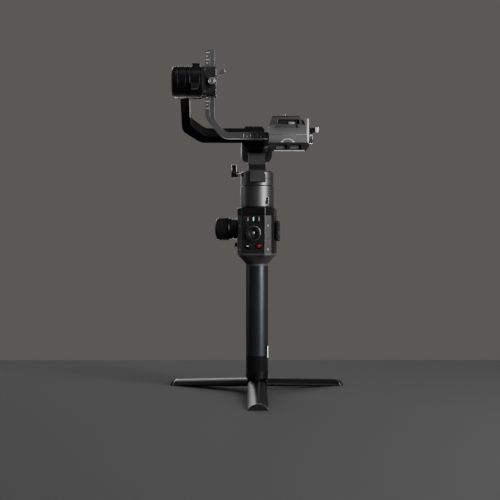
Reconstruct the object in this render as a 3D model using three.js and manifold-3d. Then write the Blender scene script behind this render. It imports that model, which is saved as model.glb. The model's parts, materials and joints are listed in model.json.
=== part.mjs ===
// A one-handed three-axis gimbal stabilizer standing on its folding tripod.
// Millimetres, +Z up, +X to the user's right as the controls face the user at -Y.
// The origin is on the pole axis, on the flat underside of the tripod hub.
import * as THREE from 'three';
import { mergeVertices } from 'three/addons/utils/BufferGeometryUtils.js';
import Module from 'manifold-3d';

const wasm = await Module();
wasm.setup();

// ---------------------------------------------------------------- driving dimensions
const GAP = 0.3; // running and seating clearance
const ROUND = 32; // facets on a large round piece
const FINE = 20; // facets on a small round piece

const TUBE_R = 16; // grip tube, hub and folded legs
const FLOOR_Z = -2; // what the feet stand on
const LEG_TIP_R = 145; // foot tips from the pole axis
const LEG_PIVOT_R = 11.5;
const LEG_PIVOT_Z = 13.5;
const LEG_TIP_TOP_Z = 6; // top of a leg at its foot

const SEAM_Z = 28; // slanted seam between hub and grip, on the pole axis
const SEAM_RISE = 0.1875; // rise of that seam per millimetre of X
const BAND_TOP_Z = 51.5;
const WINDOW_TOP_Z = 67;
const WINDOW_TURN = -13; // window direction, degrees from +X
const TUBE_TOP_Z = 181;
const CELL_R = 9.2;
const CELL_LENGTH = 65;

const HANDLE_YAW = -11; // the controls face slightly to the left
const HOUSING_Z = 199.5;
const HOUSING_TOP_Z = 253.2;
const CAP_TOP_Z = 264.2;
const HOUSING_HALF_WIDTH = 27;
const PANEL_Y = -27.5;
const PANEL_HALF_WIDTH = 16.5;
const HOUSING_BACK_Y = 26.5;
const WALL = 2.5;
const JOYSTICK_Z = 227.8;
const BUTTON_Z = 209.5;
const BUTTON_X = 8;
const LIGHT_Z = 248;
const FOCUS_Z = 234.6;

const PAN_R = 24.35;
const PAN_STATOR_Z = [264.5, 296];
const PAN_ROTOR_Z = [296.3, 317];
const PAN_LOCK_TURN = -55.4; // direction of the pan lock, degrees from +X
const BAR_X = [-10, 12]; // sliding bar of the pan arm
const BAR_Z = [301, 316.5];
const BAR_Y = [-28, 44];

const TILT_Z = 446.6; // tilt axis height; the roll axis passes through (0, 0, TILT_Z)
const ROLL_LEAN = 41; // roll axis, degrees from vertical, leaning to the front
const ROLL_R = 24;
const ROLL_BACK = -136.8; // distances along the roll axis, measured from the tilt axis
const ROLL_SEAM = -106;
const ROLL_ARM_BACK = -97;
const ROLL_ARM_FRONT = -85;
const ROLL_ARM_HALF = 11;
const ROLL_ARM_LEG_X = [-111.7, -99.3];
const TILT_R = 23.5;
const TILT_X = [-122.5, -112.6, -101.35, -81.15, -59.4]; // cap, ring, barrel, clamp faces

const RAIL_X = [-74.3, -61.5];
const RAIL_Y = [-8, 6];
const RAIL_Z = [365, 373.7];
const RAIL_TOP_Z = 492.4;
const RAIL_END_X = 58;

const BASE_X = [16.5, 73];
const BASE_Y = [-38, 12];
const BASE_Z = [343, 355, 380];
const TRAY_RISE = 6.5; // how much the tray's underside rises to the back
const PLATE_Y = [-36, 10];
const PLATE_TOP_Z = 391.7;
const PAD_TOP_Z = 393;
const SCREW_AT = [40, -13];

// ---------------------------------------------------------------- shapes and booleans
const rad = THREE.MathUtils.degToRad;
const { sin, cos, tan, asin, abs } = Math;

const AXIS_BASIS = {
  x: [new THREE.Vector3(0, 1, 0), new THREE.Vector3(0, 0, 1), new THREE.Vector3(1, 0, 0)],
  y: [new THREE.Vector3(1, 0, 0), new THREE.Vector3(0, 0, 1), new THREE.Vector3(0, -1, 0)],
  z: [new THREE.Vector3(1, 0, 0), new THREE.Vector3(0, 1, 0), new THREE.Vector3(0, 0, 1)],
};

// Turns geometry made along +Z to run along the given axis.
function along(geometry, axis) {
  return geometry.applyMatrix4(new THREE.Matrix4().makeBasis(...AXIS_BASIS[axis]));
}

function box([x0, x1], [y0, y1], [z0, z1]) {
  const geometry = new THREE.BoxGeometry(x1 - x0, y1 - y0, z1 - z0);
  return geometry.translate((x0 + x1) / 2, (y0 + y1) / 2, (z0 + z1) / 2);
}

// A straight prism: the outline's two coordinates are the other two axes in X, Y, Z order.
function prism(axis, outline, [from, to]) {
  const shape = new THREE.Shape(outline.map(([u, v]) => new THREE.Vector2(u, v)));
  const geometry = new THREE.ExtrudeGeometry(shape, { depth: to - from, bevelEnabled: false });
  const start = axis === 'y' ? -to : from;
  return along(geometry.translate(0, 0, start), axis);
}

// A round bar; at gives its centre in the other two axes.
function rod(axis, radius, [from, to], at = [0, 0], facets = FINE) {
  return turned(axis, [[0, from], [radius, from], [radius, to], [0, to]], at, facets);
}

// A turned piece from a profile of [radius, distance along the axis].
function turned(axis, profile, at = [0, 0], facets = ROUND) {
  const closed = profile[0][0] === 0 ? profile : [...profile, profile[0]];
  const sign = axis === 'y' ? -1 : 1;
  const points = closed.map(([r, h]) => new THREE.Vector2(r, sign * h));
  const geometry = new THREE.LatheGeometry(points, facets).rotateX(rad(90));
  const move = { x: [0, at[0], at[1]], y: [at[0], 0, at[1]], z: [at[0], at[1], 0] };
  return along(geometry, axis).translate(...move[axis]);
}

// Vertices shared, flat slivers dropped, faces pointing out.
function closedMesh(geometry) {
  const bare = geometry.clone();
  bare.deleteAttribute('normal');
  bare.deleteAttribute('uv');
  const shared = mergeVertices(bare, 1e-4);
  const at = (i) => new THREE.Vector3().fromBufferAttribute(shared.attributes.position, i);
  const index = shared.index.array;
  const faces = [];
  let volume = 0;
  for (let i = 0; i < index.length; i += 3) {
    const [a, b, c] = index.slice(i, i + 3);
    if (a === b || b === c || c === a) continue;
    faces.push([a, b, c]);
    volume += at(a).dot(at(b).cross(at(c)));
  }
  const outward = volume < 0 ? faces.map(([a, b, c]) => [a, c, b]) : faces;
  shared.setIndex(outward.flat());
  return shared;
}

function toSolid(geometry) {
  const shared = closedMesh(geometry);
  return new wasm.Manifold(new wasm.Mesh({
    numProp: 3,
    vertProperties: new Float32Array(shared.attributes.position.array),
    triVerts: new Uint32Array(shared.index.array),
  }));
}

function toGeometry(solid) {
  const { vertProperties, triVerts } = solid.getMesh();
  const geometry = new THREE.BufferGeometry();
  geometry.setAttribute('position', new THREE.BufferAttribute(vertProperties, 3));
  geometry.setIndex(new THREE.BufferAttribute(triVerts, 1));
  return geometry;
}

function combine(first, others, how) {
  return toGeometry(others.reduce((sum, next) => sum[how](toSolid(next)), toSolid(first)));
}

const join = (first, ...others) => combine(first, others, 'add');
const cut = (first, ...others) => combine(first, others, 'subtract');
const common = (first, ...others) => combine(first, others, 'intersect');

// Turns geometry about the pole axis, for pieces set at an angle on the round body.
const facing = (degrees, geometry) => geometry.rotateZ(rad(degrees));

// ---------------------------------------------------------------- finishes
const finish = (color, roughness, metalness) => (
  new THREE.MeshStandardMaterial({ color, roughness, metalness })
);
const BLACK_SATIN = finish(0x18191b, 0.45, 0.6);
const BLACK_GLOSS = finish(0x0b0b0c, 0.15, 0.1);
const BLACK_PLASTIC = finish(0x151617, 0.55, 0.0);
const GREY_TUBE = finish(0x2b3036, 0.35, 0.7);
const GREY_METAL = finish(0x44474b, 0.4, 0.8);
const RUBBER = finish(0x0e0e0e, 0.85, 0.0);
const STEEL = finish(0xa8aaad, 0.3, 1.0);
const RED = finish(0xa01414, 0.4, 0.0);
const LIGHT = finish(0xbfe8d8, 0.3, 0.0);
const COPPER = finish(0xb06a35, 0.4, 0.9);
const BOARD = finish(0x12402a, 0.5, 0.1);
const CELL = finish(0x2f6f9e, 0.5, 0.0);

const gimbal = new THREE.Group();
const handle = new THREE.Group();
handle.rotation.z = rad(HANDLE_YAW);
const rollFrame = new THREE.Group();
rollFrame.position.z = TILT_Z;
rollFrame.rotation.x = rad(ROLL_LEAN);
gimbal.add(handle, rollFrame);

function part(group, name, geometry, material) {
  const mesh = new THREE.Mesh(closedMesh(geometry), material);
  mesh.name = name;
  group.add(mesh);
}

// ---------------------------------------------------------------- folding tripod
// The legs are thirds of a tube. Folded, they carry on the grip tube downwards.
const LEG_INNER_R = 9;
const LEG_HALF_ANGLE = 59;
const LEG_HEEL = 3; // how far a leg reaches behind its pivot
const FOOT_LENGTH = 5;
const TONGUE_HALF = 3;
const PIN_R = 1.5;
const LEG_AZIMUTHS = [-90, 30, 150];

const legSlope = asin((LEG_PIVOT_Z + TUBE_R - LEG_PIVOT_R - LEG_TIP_TOP_Z) / (LEG_TIP_R - LEG_PIVOT_R));
const legLength = (LEG_TIP_R - LEG_PIVOT_R) / cos(legSlope);

const seamZ = (x) => SEAM_Z + SEAM_RISE * x;

// Everything between the slanted seam, moved by shift, and the level z = end.
function besideSeam(end, shift) {
  const far = 2 * TUBE_R;
  const outline = [[-far, end], [far, end], [far, seamZ(far) + shift], [-far, seamZ(-far) + shift]];
  return prism('y', outline, [-far, far]);
}

function legSection() {
  const polar = (r, degrees) => [r * sin(rad(degrees)), r * cos(rad(degrees)) - LEG_PIVOT_R];
  const arc = (r, from, to, steps) => (
    Array.from({ length: steps + 1 }, (_, i) => polar(r, from + ((to - from) * i) / steps))
  );
  const groove = (side) => [[13.5, 59], [13.5, 53.5], [11.2, 52.5], [11.2, 59]]
    .map(([r, degrees]) => polar(r, side * degrees));
  return [
    ...arc(TUBE_R, -LEG_HALF_ANGLE, LEG_HALF_ANGLE, 12),
    ...groove(1),
    ...arc(LEG_INNER_R, LEG_HALF_ANGLE, -LEG_HALF_ANGLE, 6),
    ...groove(-1).reverse(),
  ];
}

// What is left above a straight underside from (x0, z0) to (x1, z1).
function aboveLine([x0, z0], [x1, z1]) {
  return prism('y', [[x0, z0], [x1, z1], [x1, 10], [x0, 10]], [-TUBE_R, TUBE_R]);
}

function tripodHub() {
  const cap = common(rod('z', TUBE_R, [19.4, 40], [0, 0], ROUND), besideSeam(10, 0));
  const core = rod('z', 7, [0, 20]);
  const tongues = LEG_AZIMUTHS.map((azimuth) => {
    const plate = box([5, LEG_PIVOT_R], [-TONGUE_HALF, TONGUE_HALF], [9.3, 20]);
    const eye = rod('y', 4.2, [-TONGUE_HALF, TONGUE_HALF], [LEG_PIVOT_R, LEG_PIVOT_Z]);
    const neck = box([LEG_PIVOT_R - 1, LEG_PIVOT_R + 2.5], [-TONGUE_HALF, TONGUE_HALF], [14, 20]);
    const bore = rod('y', PIN_R + GAP, [-9, 9], [LEG_PIVOT_R, LEG_PIVOT_Z], 12);
    return facing(azimuth, cut(join(plate, eye, neck), bore));
  });
  const pocket = rod('z', 7.2, [21.5, 40]);
  return cut(join(cap, core, ...tongues), pocket);
}

function tripodLeg() {
  const blank = prism('x', legSection(), [-LEG_HEEL, legLength - FOOT_LENGTH - GAP]);
  const tapered = common(blank, aboveLine([-4, -8], [legLength, -3.5]));
  const slot = box([-4, 5.2], [-TONGUE_HALF - GAP, TONGUE_HALF + GAP], [-9, 9]);
  const bore = rod('y', PIN_R + GAP, [-15, 15], [0, 0], 12);
  return cut(tapered, slot, bore);
}

function footPad() {
  const blank = prism('x', legSection(), [legLength - FOOT_LENGTH, legLength]);
  const tipZ = (FLOOR_Z - LEG_PIVOT_Z) / cos(legSlope) + legLength * tan(legSlope);
  const heelZ = tipZ - FOOT_LENGTH * tan(legSlope);
  return common(blank, aboveLine([legLength - FOOT_LENGTH, heelZ], [legLength, tipZ]));
}

function buildTripod() {
  part(gimbal, 'tripod_hub', tripodHub(), BLACK_SATIN);
  LEG_AZIMUTHS.forEach((azimuth, i) => {
    const side = new THREE.Group();
    side.rotation.z = rad(azimuth);
    const leg = new THREE.Group();
    leg.position.set(LEG_PIVOT_R, 0, LEG_PIVOT_Z);
    leg.rotation.y = legSlope;
    side.add(leg);
    gimbal.add(side);
    part(leg, `tripod_leg_${i + 1}`, tripodLeg(), BLACK_SATIN);
    part(leg, `foot_pad_${i + 1}`, footPad(), RUBBER);
    part(leg, `leg_pin_${i + 1}`, rod('y', PIN_R, [-10, 10], [0, 0], 12), STEEL);
  });
  const screw = [[0, 21.8], [6.5, 21.8], [6.5, 25.5], [3, 25.5], [3, 37], [0, 37]];
  part(gimbal, 'mount_screw', turned('z', screw, [0, 0], FINE), STEEL);
}

// ---------------------------------------------------------------- battery grip
const CELL_BAY_Z = 36.5; // floor of the battery bay
const LIGHT_STRIP_Z = [48.5, 65];

function windowTongue(clearance) {
  const half = 7.5 + clearance;
  return facing(WINDOW_TURN, box([8, 20], [-half, half], [BAND_TOP_Z - 1, WINDOW_TOP_Z + clearance]));
}

function lightStrip(clearance) {
  const across = [-1.25 - clearance, 1.25 + clearance];
  const up = [LIGHT_STRIP_Z[0] - clearance, LIGHT_STRIP_Z[1] + clearance];
  return facing(WINDOW_TURN, box([15.3 - clearance, 16.1 + clearance], across, up));
}

function gripEndBand() {
  const round = rod('z', TUBE_R, [20, WINDOW_TOP_Z], [0, 0], ROUND);
  const band = common(round, besideSeam(BAND_TOP_Z, GAP));
  const bay = rod('z', 13, [CELL_BAY_Z, 80], [0, 0], ROUND);
  const screwHole = rod('z', 3 + GAP, [20, 50]);
  return cut(join(band, common(round, windowTongue(0))), bay, screwHole, lightStrip(GAP));
}

function gripTube() {
  const [low, high] = [BAND_TOP_Z + GAP, TUBE_TOP_Z];
  const tube = turned('z', [[13.4, low], [TUBE_R, low], [TUBE_R, high], [13.4, high]]);
  return cut(tube, windowTongue(GAP));
}

function buildGrip() {
  part(gimbal, 'grip_end_band', gripEndBand(), BLACK_GLOSS);
  part(gimbal, 'grip_tube', gripTube(), GREY_TUBE);
  part(gimbal, 'battery_light', lightStrip(0), LIGHT);
  const lowerZ = CELL_BAY_Z + 1.2;
  const upperZ = lowerZ + CELL_LENGTH + 0.6;
  part(gimbal, 'battery_cell_lower', rod('z', CELL_R, [lowerZ, lowerZ + CELL_LENGTH]), CELL);
  part(gimbal, 'battery_cell_upper', rod('z', CELL_R, [upperZ, upperZ + CELL_LENGTH]), CELL);
  const [low, high] = [TUBE_TOP_Z + GAP, HOUSING_Z - GAP];
  const collar = [[11, low], [16, low], [17.2, low + 3], [25.4, high - 2.5], [26, high], [11, high]];
  part(gimbal, 'grip_collar', turned('z', collar), BLACK_SATIN);
}

// ---------------------------------------------------------------- handle housing
// Outline of one half, from the left split line round to the right one.
const FRONT_OUTLINE = [
  [-HOUSING_HALF_WIDTH, -GAP / 2], [-HOUSING_HALF_WIDTH, -11], [-24.6, -18.8], [-PANEL_HALF_WIDTH, PANEL_Y],
  [PANEL_HALF_WIDTH, PANEL_Y], [24.6, -18.8], [HOUSING_HALF_WIDTH, -11], [HOUSING_HALF_WIDTH, -GAP / 2],
];
const REAR_OUTLINE = [
  [HOUSING_HALF_WIDTH, GAP / 2], [HOUSING_HALF_WIDTH, 11], [24, 18], [19, 23], [12, HOUSING_BACK_Y],
  [-12, HOUSING_BACK_Y], [-19, 23], [-24, 18], [-HOUSING_HALF_WIDTH, 11], [-HOUSING_HALF_WIDTH, GAP / 2],
];
const TRIGGER_PIVOT = [21, 243];
const TRIGGER_HALF = 5;

function halfHousing(outline, ...openings) {
  const inner = 1 - WALL / HOUSING_HALF_WIDTH;
  const onSplit = (y) => abs(y) < 1;
  const hollow = outline.map(([x, y]) => [x * inner, onSplit(y) ? -10 * y : y * inner]);
  const blank = prism('z', outline, [HOUSING_Z, HOUSING_TOP_Z]);
  const floorHole = rod('z', 11, [HOUSING_Z - 1, HOUSING_Z + 5]);
  return cut(blank, prism('z', hollow, [HOUSING_Z + WALL, HOUSING_TOP_Z + 5]), floorHole, ...openings);
}

function housingFront() {
  const through = [PANEL_Y - 1, PANEL_Y + 5];
  const buttons = [-1, 1].map((side) => rod('y', 4 + GAP, through, [side * BUTTON_X, BUTTON_Z]));
  const lights = [-1, 0, 1].map((side) => (
    box([side * BUTTON_X - 1.3, side * BUTTON_X + 1.3], through, [LIGHT_Z - 3.05, LIGHT_Z + 3.05])
  ));
  const joystick = rod('y', 11.15, through, [0, JOYSTICK_Z], ROUND);
  return halfHousing(FRONT_OUTLINE, joystick, ...buttons, ...lights);
}

function housingRear() {
  const window = box([-TRIGGER_HALF - 0.6, TRIGGER_HALF + 0.6], [15, 40], [209, 248]);
  return halfHousing(REAR_OUTLINE, window);
}

function housingCap() {
  const outline = [...FRONT_OUTLINE, ...REAR_OUTLINE].filter(([, y]) => abs(y) > 1);
  return cut(prism('z', outline, [HOUSING_TOP_Z + GAP, CAP_TOP_Z]), rod('z', 9, [250, 270]));
}

function lightGuide() {
  const bar = box([-11, 11], [PANEL_Y + WALL + GAP, PANEL_Y + 4.2], [LIGHT_Z - 4, LIGHT_Z + 4]);
  const [through, up] = [[PANEL_Y - 0.2, PANEL_Y + 4], [LIGHT_Z - 2.75, LIGHT_Z + 2.75]];
  const prongs = [-1, 0, 1].map((side) => box([side * BUTTON_X - 1, side * BUTTON_X + 1], through, up));
  return join(bar, ...prongs);
}

function trigger() {
  const [pivotY, pivotZ] = TRIGGER_PIVOT;
  const paddle = prism('x', [
    [pivotY - 2, pivotZ + 2.5], [pivotY + 6.5, pivotZ + 2.5], [31, 237], [32.5, 228], [35, 214],
    [31.5, 212.5], [28, 224], [26, 232], [pivotY - 2, pivotZ - 2.5],
  ], [-TRIGGER_HALF, TRIGGER_HALF]);
  return join(paddle, rod('x', 3, [-TRIGGER_HALF, TRIGGER_HALF], TRIGGER_PIVOT));
}

function joystickCap() {
  const y = PANEL_Y;
  const dish = [[0, y - 3.6], [3, y - 3.8], [7.4, y - 5.8], [8.3, y - 5.2], [8.2, y - 3.4], [2.6, y - 2.9],
    [2.6, y + 6.2], [0, y + 6.2]];
  return turned('y', dish, [0, JOYSTICK_Z], 24);
}

function buildHandle() {
  part(handle, 'housing_front', housingFront(), BLACK_SATIN);
  part(handle, 'housing_rear', housingRear(), BLACK_PLASTIC);
  part(handle, 'housing_cap', housingCap(), BLACK_GLOSS);
  part(handle, 'control_board', box([-19, 19], [-13.8, -12.2], [205, 251]), BOARD);
  part(handle, 'mode_light_guide', lightGuide(), LIGHT);
  const bezel = [[9, PANEL_Y - 0.9], [10, PANEL_Y - 1.4], [10.85, PANEL_Y - 0.9], [10.85, PANEL_Y + 3],
    [9, PANEL_Y + 3]];
  part(handle, 'joystick_bezel', turned('y', bezel, [0, JOYSTICK_Z]), BLACK_GLOSS);
  const cradle = [[3.6, -22], [6.6, -22], [6.6, -19], [3.6, -19]];
  part(handle, 'joystick_cradle', turned('y', cradle, [0, JOYSTICK_Z], FINE), BLACK_PLASTIC);
  part(handle, 'joystick_cap', joystickCap(), RUBBER);
  const travel = [PANEL_Y - 1.2, PANEL_Y + 4.5];
  part(handle, 'mode_button', rod('y', 4, travel, [-BUTTON_X, BUTTON_Z]), BLACK_GLOSS);
  part(handle, 'record_button', rod('y', 4, travel, [BUTTON_X, BUTTON_Z]), RED);
  part(handle, 'trigger', trigger(), BLACK_PLASTIC);
  const plate = box([29.2, 32.5], [-8.5, 8.5], [217, 246]);
  const neck = box([HOUSING_HALF_WIDTH + GAP, 30], [-6, 6], [220, 243]);
  part(handle, 'accessory_port_plate', join(plate, neck), BLACK_PLASTIC);
  const at = [0, FOCUS_Z];
  const base = [[3.4, -37.1], [14.85, -37.1], [14.85, -27.3], [3.4, -27.3]];
  part(handle, 'focus_wheel_base', turned('x', base, at), BLACK_SATIN);
  const wheel = [[0, -59], [13, -59], [16, -55.5], [16, -39], [15, -37.4], [3, -37.4], [3, -27.8],
    [0, -27.8]];
  part(handle, 'focus_wheel', turned('x', wheel, at), BLACK_SATIN);
  part(handle, 'focus_latch', box([-32, -27.3], [-4, 4], [208.5, 214.5]), BLACK_PLASTIC);
}

// ---------------------------------------------------------------- pan motor and pan arm
function panStator() {
  const [low, high] = PAN_STATOR_Z;
  const cup = turned('z', [[9, low], [22.6, low], [PAN_R, low + 2], [PAN_R, high], [22.3, high],
    [22.3, low + 4], [9, low + 4]]);
  const slot = box([20, 28], [-2.6, 2.6], [low + 4.8, low + 14.6]);
  return cut(cup, facing(PAN_LOCK_TURN, slot));
}

// Section of the channel in the pan rotor, or of the bar that slides in it.
function barSection(clearance, top) {
  const [left, right] = [BAR_X[0] - clearance, BAR_X[1] + clearance];
  const low = BAR_Z[0] - clearance;
  const taper = 2.5;
  const shoulder = BAR_Z[1] - 5.5;
  return [[left, low], [right, low], [right, shoulder], [right - taper, BAR_Z[1]], [right - taper, top],
    [left + taper, top], [left + taper, BAR_Z[1]], [left, shoulder]];
}

const PAN_LEVER_AT = [-6, 313];

function panRotor() {
  const [low, high] = PAN_ROTOR_Z;
  const body = turned('z', [[0, low - 30], [4.6, low - 30], [4.6, low], [23.85, low], [23.85, high - 1.5],
    [22.5, high], [0, high]]);
  const channel = prism('y', barSection(GAP, high + 5), [-30, 30]);
  return cut(body, channel, rod('x', 2.5, [-30, -14], PAN_LEVER_AT, 12));
}

function panLever() {
  const [y, z] = PAN_LEVER_AT;
  const hub = rod('x', 5.2, [-37, -26.5], PAN_LEVER_AT);
  const stem = rod('x', 2.2, [-27, -14.5], PAN_LEVER_AT, 12);
  const paddle = prism('x', [[y - 3, z], [y + 3, z], [y + 2.2, z + 14], [y - 2.2, z + 14]], [-36.2, -30]);
  return join(hub, stem, paddle);
}

function panArm() {
  const bar = prism('y', barSection(0, BAR_Z[1] + 1.6), BAR_Y);
  const front = box([-30, 30], [BAR_Y[0] - 1, 10], [BAR_Z[1], BAR_Z[1] + 10]);
  const clearTop = PAN_ROTOR_Z[1] + 0.5;
  const rise = prism('x', [[10, clearTop], [40.5, clearTop], [43, 305], [56, 308], [80, 326], [80, 340],
    [52, 352], [46, 347], [30, 331], [13, 322]], [-12.85, 12.85]);
  const motor = rod('z', ROLL_R + GAP, [ROLL_BACK - GAP, 0], [0, 0], ROUND);
  motor.rotateX(rad(ROLL_LEAN)).translate(0, 0, TILT_Z);
  return cut(join(cut(bar, front), rise), motor);
}

function buildPan() {
  part(gimbal, 'pan_stator', panStator(), BLACK_GLOSS);
  const coil = [[9.5, 270], [18.5, 270], [18.5, 288], [9.5, 288]];
  part(gimbal, 'pan_coil', turned('z', coil, [0, 0], FINE), COPPER);
  const lock = facing(PAN_LOCK_TURN, box([22.7, 25.7], [-2.2, 2.2], [269.8, 274.4]));
  part(gimbal, 'pan_lock', lock, BLACK_PLASTIC);
  part(gimbal, 'pan_rotor', panRotor(), BLACK_SATIN);
  const magnets = [[19.2, 270], [21.4, 270], [21.4, 292], [19.2, 292]];
  part(gimbal, 'pan_magnet_ring', turned('z', magnets), STEEL);
  part(gimbal, 'pan_arm_lever', panLever(), BLACK_SATIN);
  part(gimbal, 'pan_arm', panArm(), BLACK_SATIN);
}

// ---------------------------------------------------------------- roll motor and roll arm
// These pieces are drawn along the roll axis, with Z = 0 where it meets the tilt axis.
const CLAMP_X = [-18, 9];
const KNOB_AT = [-5, -91];

function rollStator() {
  return turned('z', [[0, ROLL_BACK], [14, ROLL_BACK], [20.5, ROLL_BACK + 2.4], [23.2, ROLL_BACK + 7],
    [ROLL_R, ROLL_BACK + 13], [ROLL_R, ROLL_SEAM - 0.2], [21.8, ROLL_SEAM - 0.2], [21.8, ROLL_BACK + 6],
    [0, ROLL_BACK + 4]]);
}

function rollRotor() {
  const front = -99.2;
  const disc = turned('z', [[0, ROLL_BACK + 6], [5, ROLL_BACK + 6], [5, ROLL_SEAM + 0.1],
    [23.7, ROLL_SEAM + 0.1], [23.7, front - 1.5], [22.2, front], [0, front]]);
  const [near, half] = [ROLL_ARM_BACK - GAP, ROLL_ARM_HALF + GAP];
  const jaws = prism('x', [[-14.5, front - 1], [16.5, front - 1], [16.5, -84.5], [half, -84.5],
    [half, near], [-half, near], [-half, -90], [-14.5, -90]], CLAMP_X);
  return cut(join(disc, jaws), rod('y', 2.1, [ROLL_ARM_HALF, 20], KNOB_AT, 12));
}

function rollKnob() {
  const [x, z] = KNOB_AT;
  const head = rod('y', 4.2, [16.8, 20.8], KNOB_AT);
  const stem = rod('y', 1.8, [11.6, 17], KNOB_AT, 12);
  return cut(join(head, stem), box([x - 0.6, x + 0.6], [20, 22], [z - 6, z + 6]));
}

function rollArm() {
  const [outer, inner] = ROLL_ARM_LEG_X;
  const bend = prism('y', [[outer, 0], [outer, -76], [-84, ROLL_ARM_BACK], [12, ROLL_ARM_BACK],
    [12, ROLL_ARM_FRONT], [-78, ROLL_ARM_FRONT], [inner, -66], [inner, 0]], [-ROLL_ARM_HALF, ROLL_ARM_HALF]);
  const [ringLeft, ringRight] = [TILT_X[1] + GAP / 2, TILT_X[2] - GAP / 2];
  const ring = rod('x', TILT_R, [ringLeft, ringRight], [0, 0], ROUND);
  const bore = rod('x', 19.5, [-130, -90], [0, 0], ROUND);
  const barrel = rod('x', TILT_R + GAP, [ringRight, -80], [0, 0], ROUND);
  return cut(join(cut(bend, barrel), ring), bore);
}

function buildRoll() {
  part(rollFrame, 'roll_stator', rollStator(), BLACK_SATIN);
  const coil = [[7, -129], [17.5, -129], [17.5, -110], [7, -110]];
  part(rollFrame, 'roll_coil', turned('z', coil, [0, 0], FINE), COPPER);
  const magnets = [[18.5, -128], [21.2, -128], [21.2, -107], [18.5, -107]];
  part(rollFrame, 'roll_magnet_ring', turned('z', magnets, [0, 0], FINE), STEEL);
  part(rollFrame, 'roll_rotor', rollRotor(), BLACK_SATIN);
  part(rollFrame, 'roll_arm_knob', rollKnob(), STEEL);
  part(rollFrame, 'roll_arm', rollArm(), BLACK_SATIN);
}

// ---------------------------------------------------------------- tilt motor and rail clamp
const TILT_AT = [0, TILT_Z];
const LEVER_AT = [-65, 445.6];
const BLOCK_Y = [-15, 12];
const BLOCK_Z = [426, 468];

function tiltEndCap() {
  const [face, seam] = TILT_X;
  return turned('x', [[0, face], [21, face], [TILT_R, face + 2.5], [TILT_R, seam - GAP / 2],
    [19, seam - GAP / 2], [19, seam + 4], [0, seam + 4]], TILT_AT);
}

function tiltStator() {
  const [, , left, right] = TILT_X;
  const [from, to] = [left + GAP / 2, right - GAP / 2];
  const cup = turned('x', [[6, from], [TILT_R, from], [TILT_R, to], [21.2, to], [21.2, from + 3],
    [6, from + 3]], TILT_AT);
  const bump = box([-93.5, -82.5], [-5, 5], [TILT_Z + 21.5, TILT_Z + 27.9]);
  const hollow = rod('x', 21.2, [from + 3, to + 1], TILT_AT, ROUND);
  return join(cup, cut(bump, hollow));
}

function tiltRotor() {
  const left = TILT_X[3] + GAP / 2;
  const right = TILT_X[4];
  const disc = turned('x', [[0, left - 23], [5, left - 23], [5, left], [23.2, left], [23.2, left + 2.5],
    [0, left + 2.5]], TILT_AT);
  const block = box([left + 1, right], BLOCK_Y, BLOCK_Z);
  const channel = box([RAIL_X[0] - GAP, RAIL_X[1] + GAP], [RAIL_Y[0] - GAP, RAIL_Y[1] + GAP], [400, 500]);
  return cut(join(disc, block), channel, rod('y', 2.3, [-20, -5], LEVER_AT, 12));
}

function clampLever() {
  const [x, z] = LEVER_AT;
  const front = BLOCK_Y[0];
  const boss = rod('y', 5.5, [front - 4.5, front - GAP], LEVER_AT);
  const stem = rod('y', 2, [front - 1, RAIL_Y[0] - 2 * GAP], LEVER_AT, 12);
  const outline = [[-2, -2.6], [23, -2.2], [24.5, 0], [23, 2.2], [-2, 2.6]];
  const paddle = prism('y', outline, [front - 4, front - 1]);
  paddle.rotateY(rad(-40)).translate(x, 0, z);
  return join(boss, stem, paddle);
}

function buildTilt() {
  part(gimbal, 'tilt_end_cap', tiltEndCap(), BLACK_SATIN);
  part(gimbal, 'tilt_stator', tiltStator(), BLACK_SATIN);
  const coil = [[7, -97.5], [17, -97.5], [17, -85], [7, -85]];
  part(gimbal, 'tilt_coil', turned('x', coil, TILT_AT, FINE), COPPER);
  const magnets = [[18, -97], [20.4, -97], [20.4, -82.5], [18, -82.5]];
  part(gimbal, 'tilt_magnet_ring', turned('x', magnets, TILT_AT, FINE), STEEL);
  const barrel = rod('x', TILT_R + GAP, [-99, -80], TILT_AT, ROUND);
  part(gimbal, 'tilt_lock', cut(box([-94, -83], [-26.5, -17], [433, 441.7]), barrel), BLACK_PLASTIC);
  part(gimbal, 'tilt_rotor', tiltRotor(), BLACK_SATIN);
  part(gimbal, 'tilt_clamp_lever', clampLever(), STEEL);
}

// ---------------------------------------------------------------- rail, base and camera plate
const BASE_LEVER_AT = [-22, 362.5];

function cameraRail() {
  const [left, right] = RAIL_X;
  const [low, high] = RAIL_Z;
  return prism('y', [[left, RAIL_TOP_Z], [left, 393], [-48, low], [RAIL_END_X, low], [RAIL_END_X, high],
    [-44.5, high], [right, 392], [right, RAIL_TOP_Z]], RAIL_Y);
}

function baseBlock() {
  const [left, right] = BASE_X;
  const [, low, top] = BASE_Z;
  const block = prism('y', [[left, low], [right, low], [right, 389], [66, 389], [63.6, 388], [67.6, top],
    [left, top]], BASE_Y);
  const around = ([from, to]) => [from - GAP, to + GAP];
  const tunnel = box([left - 1, 67], around(RAIL_Y), around(RAIL_Z));
  const groove = prism('y', [[24, 376], [58, 376], [55, top + 1], [27, top + 1]], [-40, 14]);
  return cut(block, tunnel, groove, rod('x', 2.8, [69, 80], BASE_LEVER_AT, 12));
}

function baseTray() {
  const [left, right] = BASE_X;
  const [front, back] = BASE_Y;
  const [low, high] = [BASE_Z[0], BASE_Z[1] - GAP];
  const trough = prism('y', [[left, high], [left, low + 7], [left + 6.5, low], [right - 6, low],
    [right, low + 6.5], [right, high]], BASE_Y);
  const risingFloor = prism('x', [[front, high], [front, low], [front + 4, low], [back, low + TRAY_RISE],
    [back, high]], BASE_X);
  const tray = common(trough, risingFloor);
  const pocket = (from, to) => box([from, to], [BASE_Y[0] - 1, BASE_Y[0] + 5], [low + 3, low + 9]);
  return cut(tray, pocket(26, 42), pocket(46, 62));
}

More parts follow.
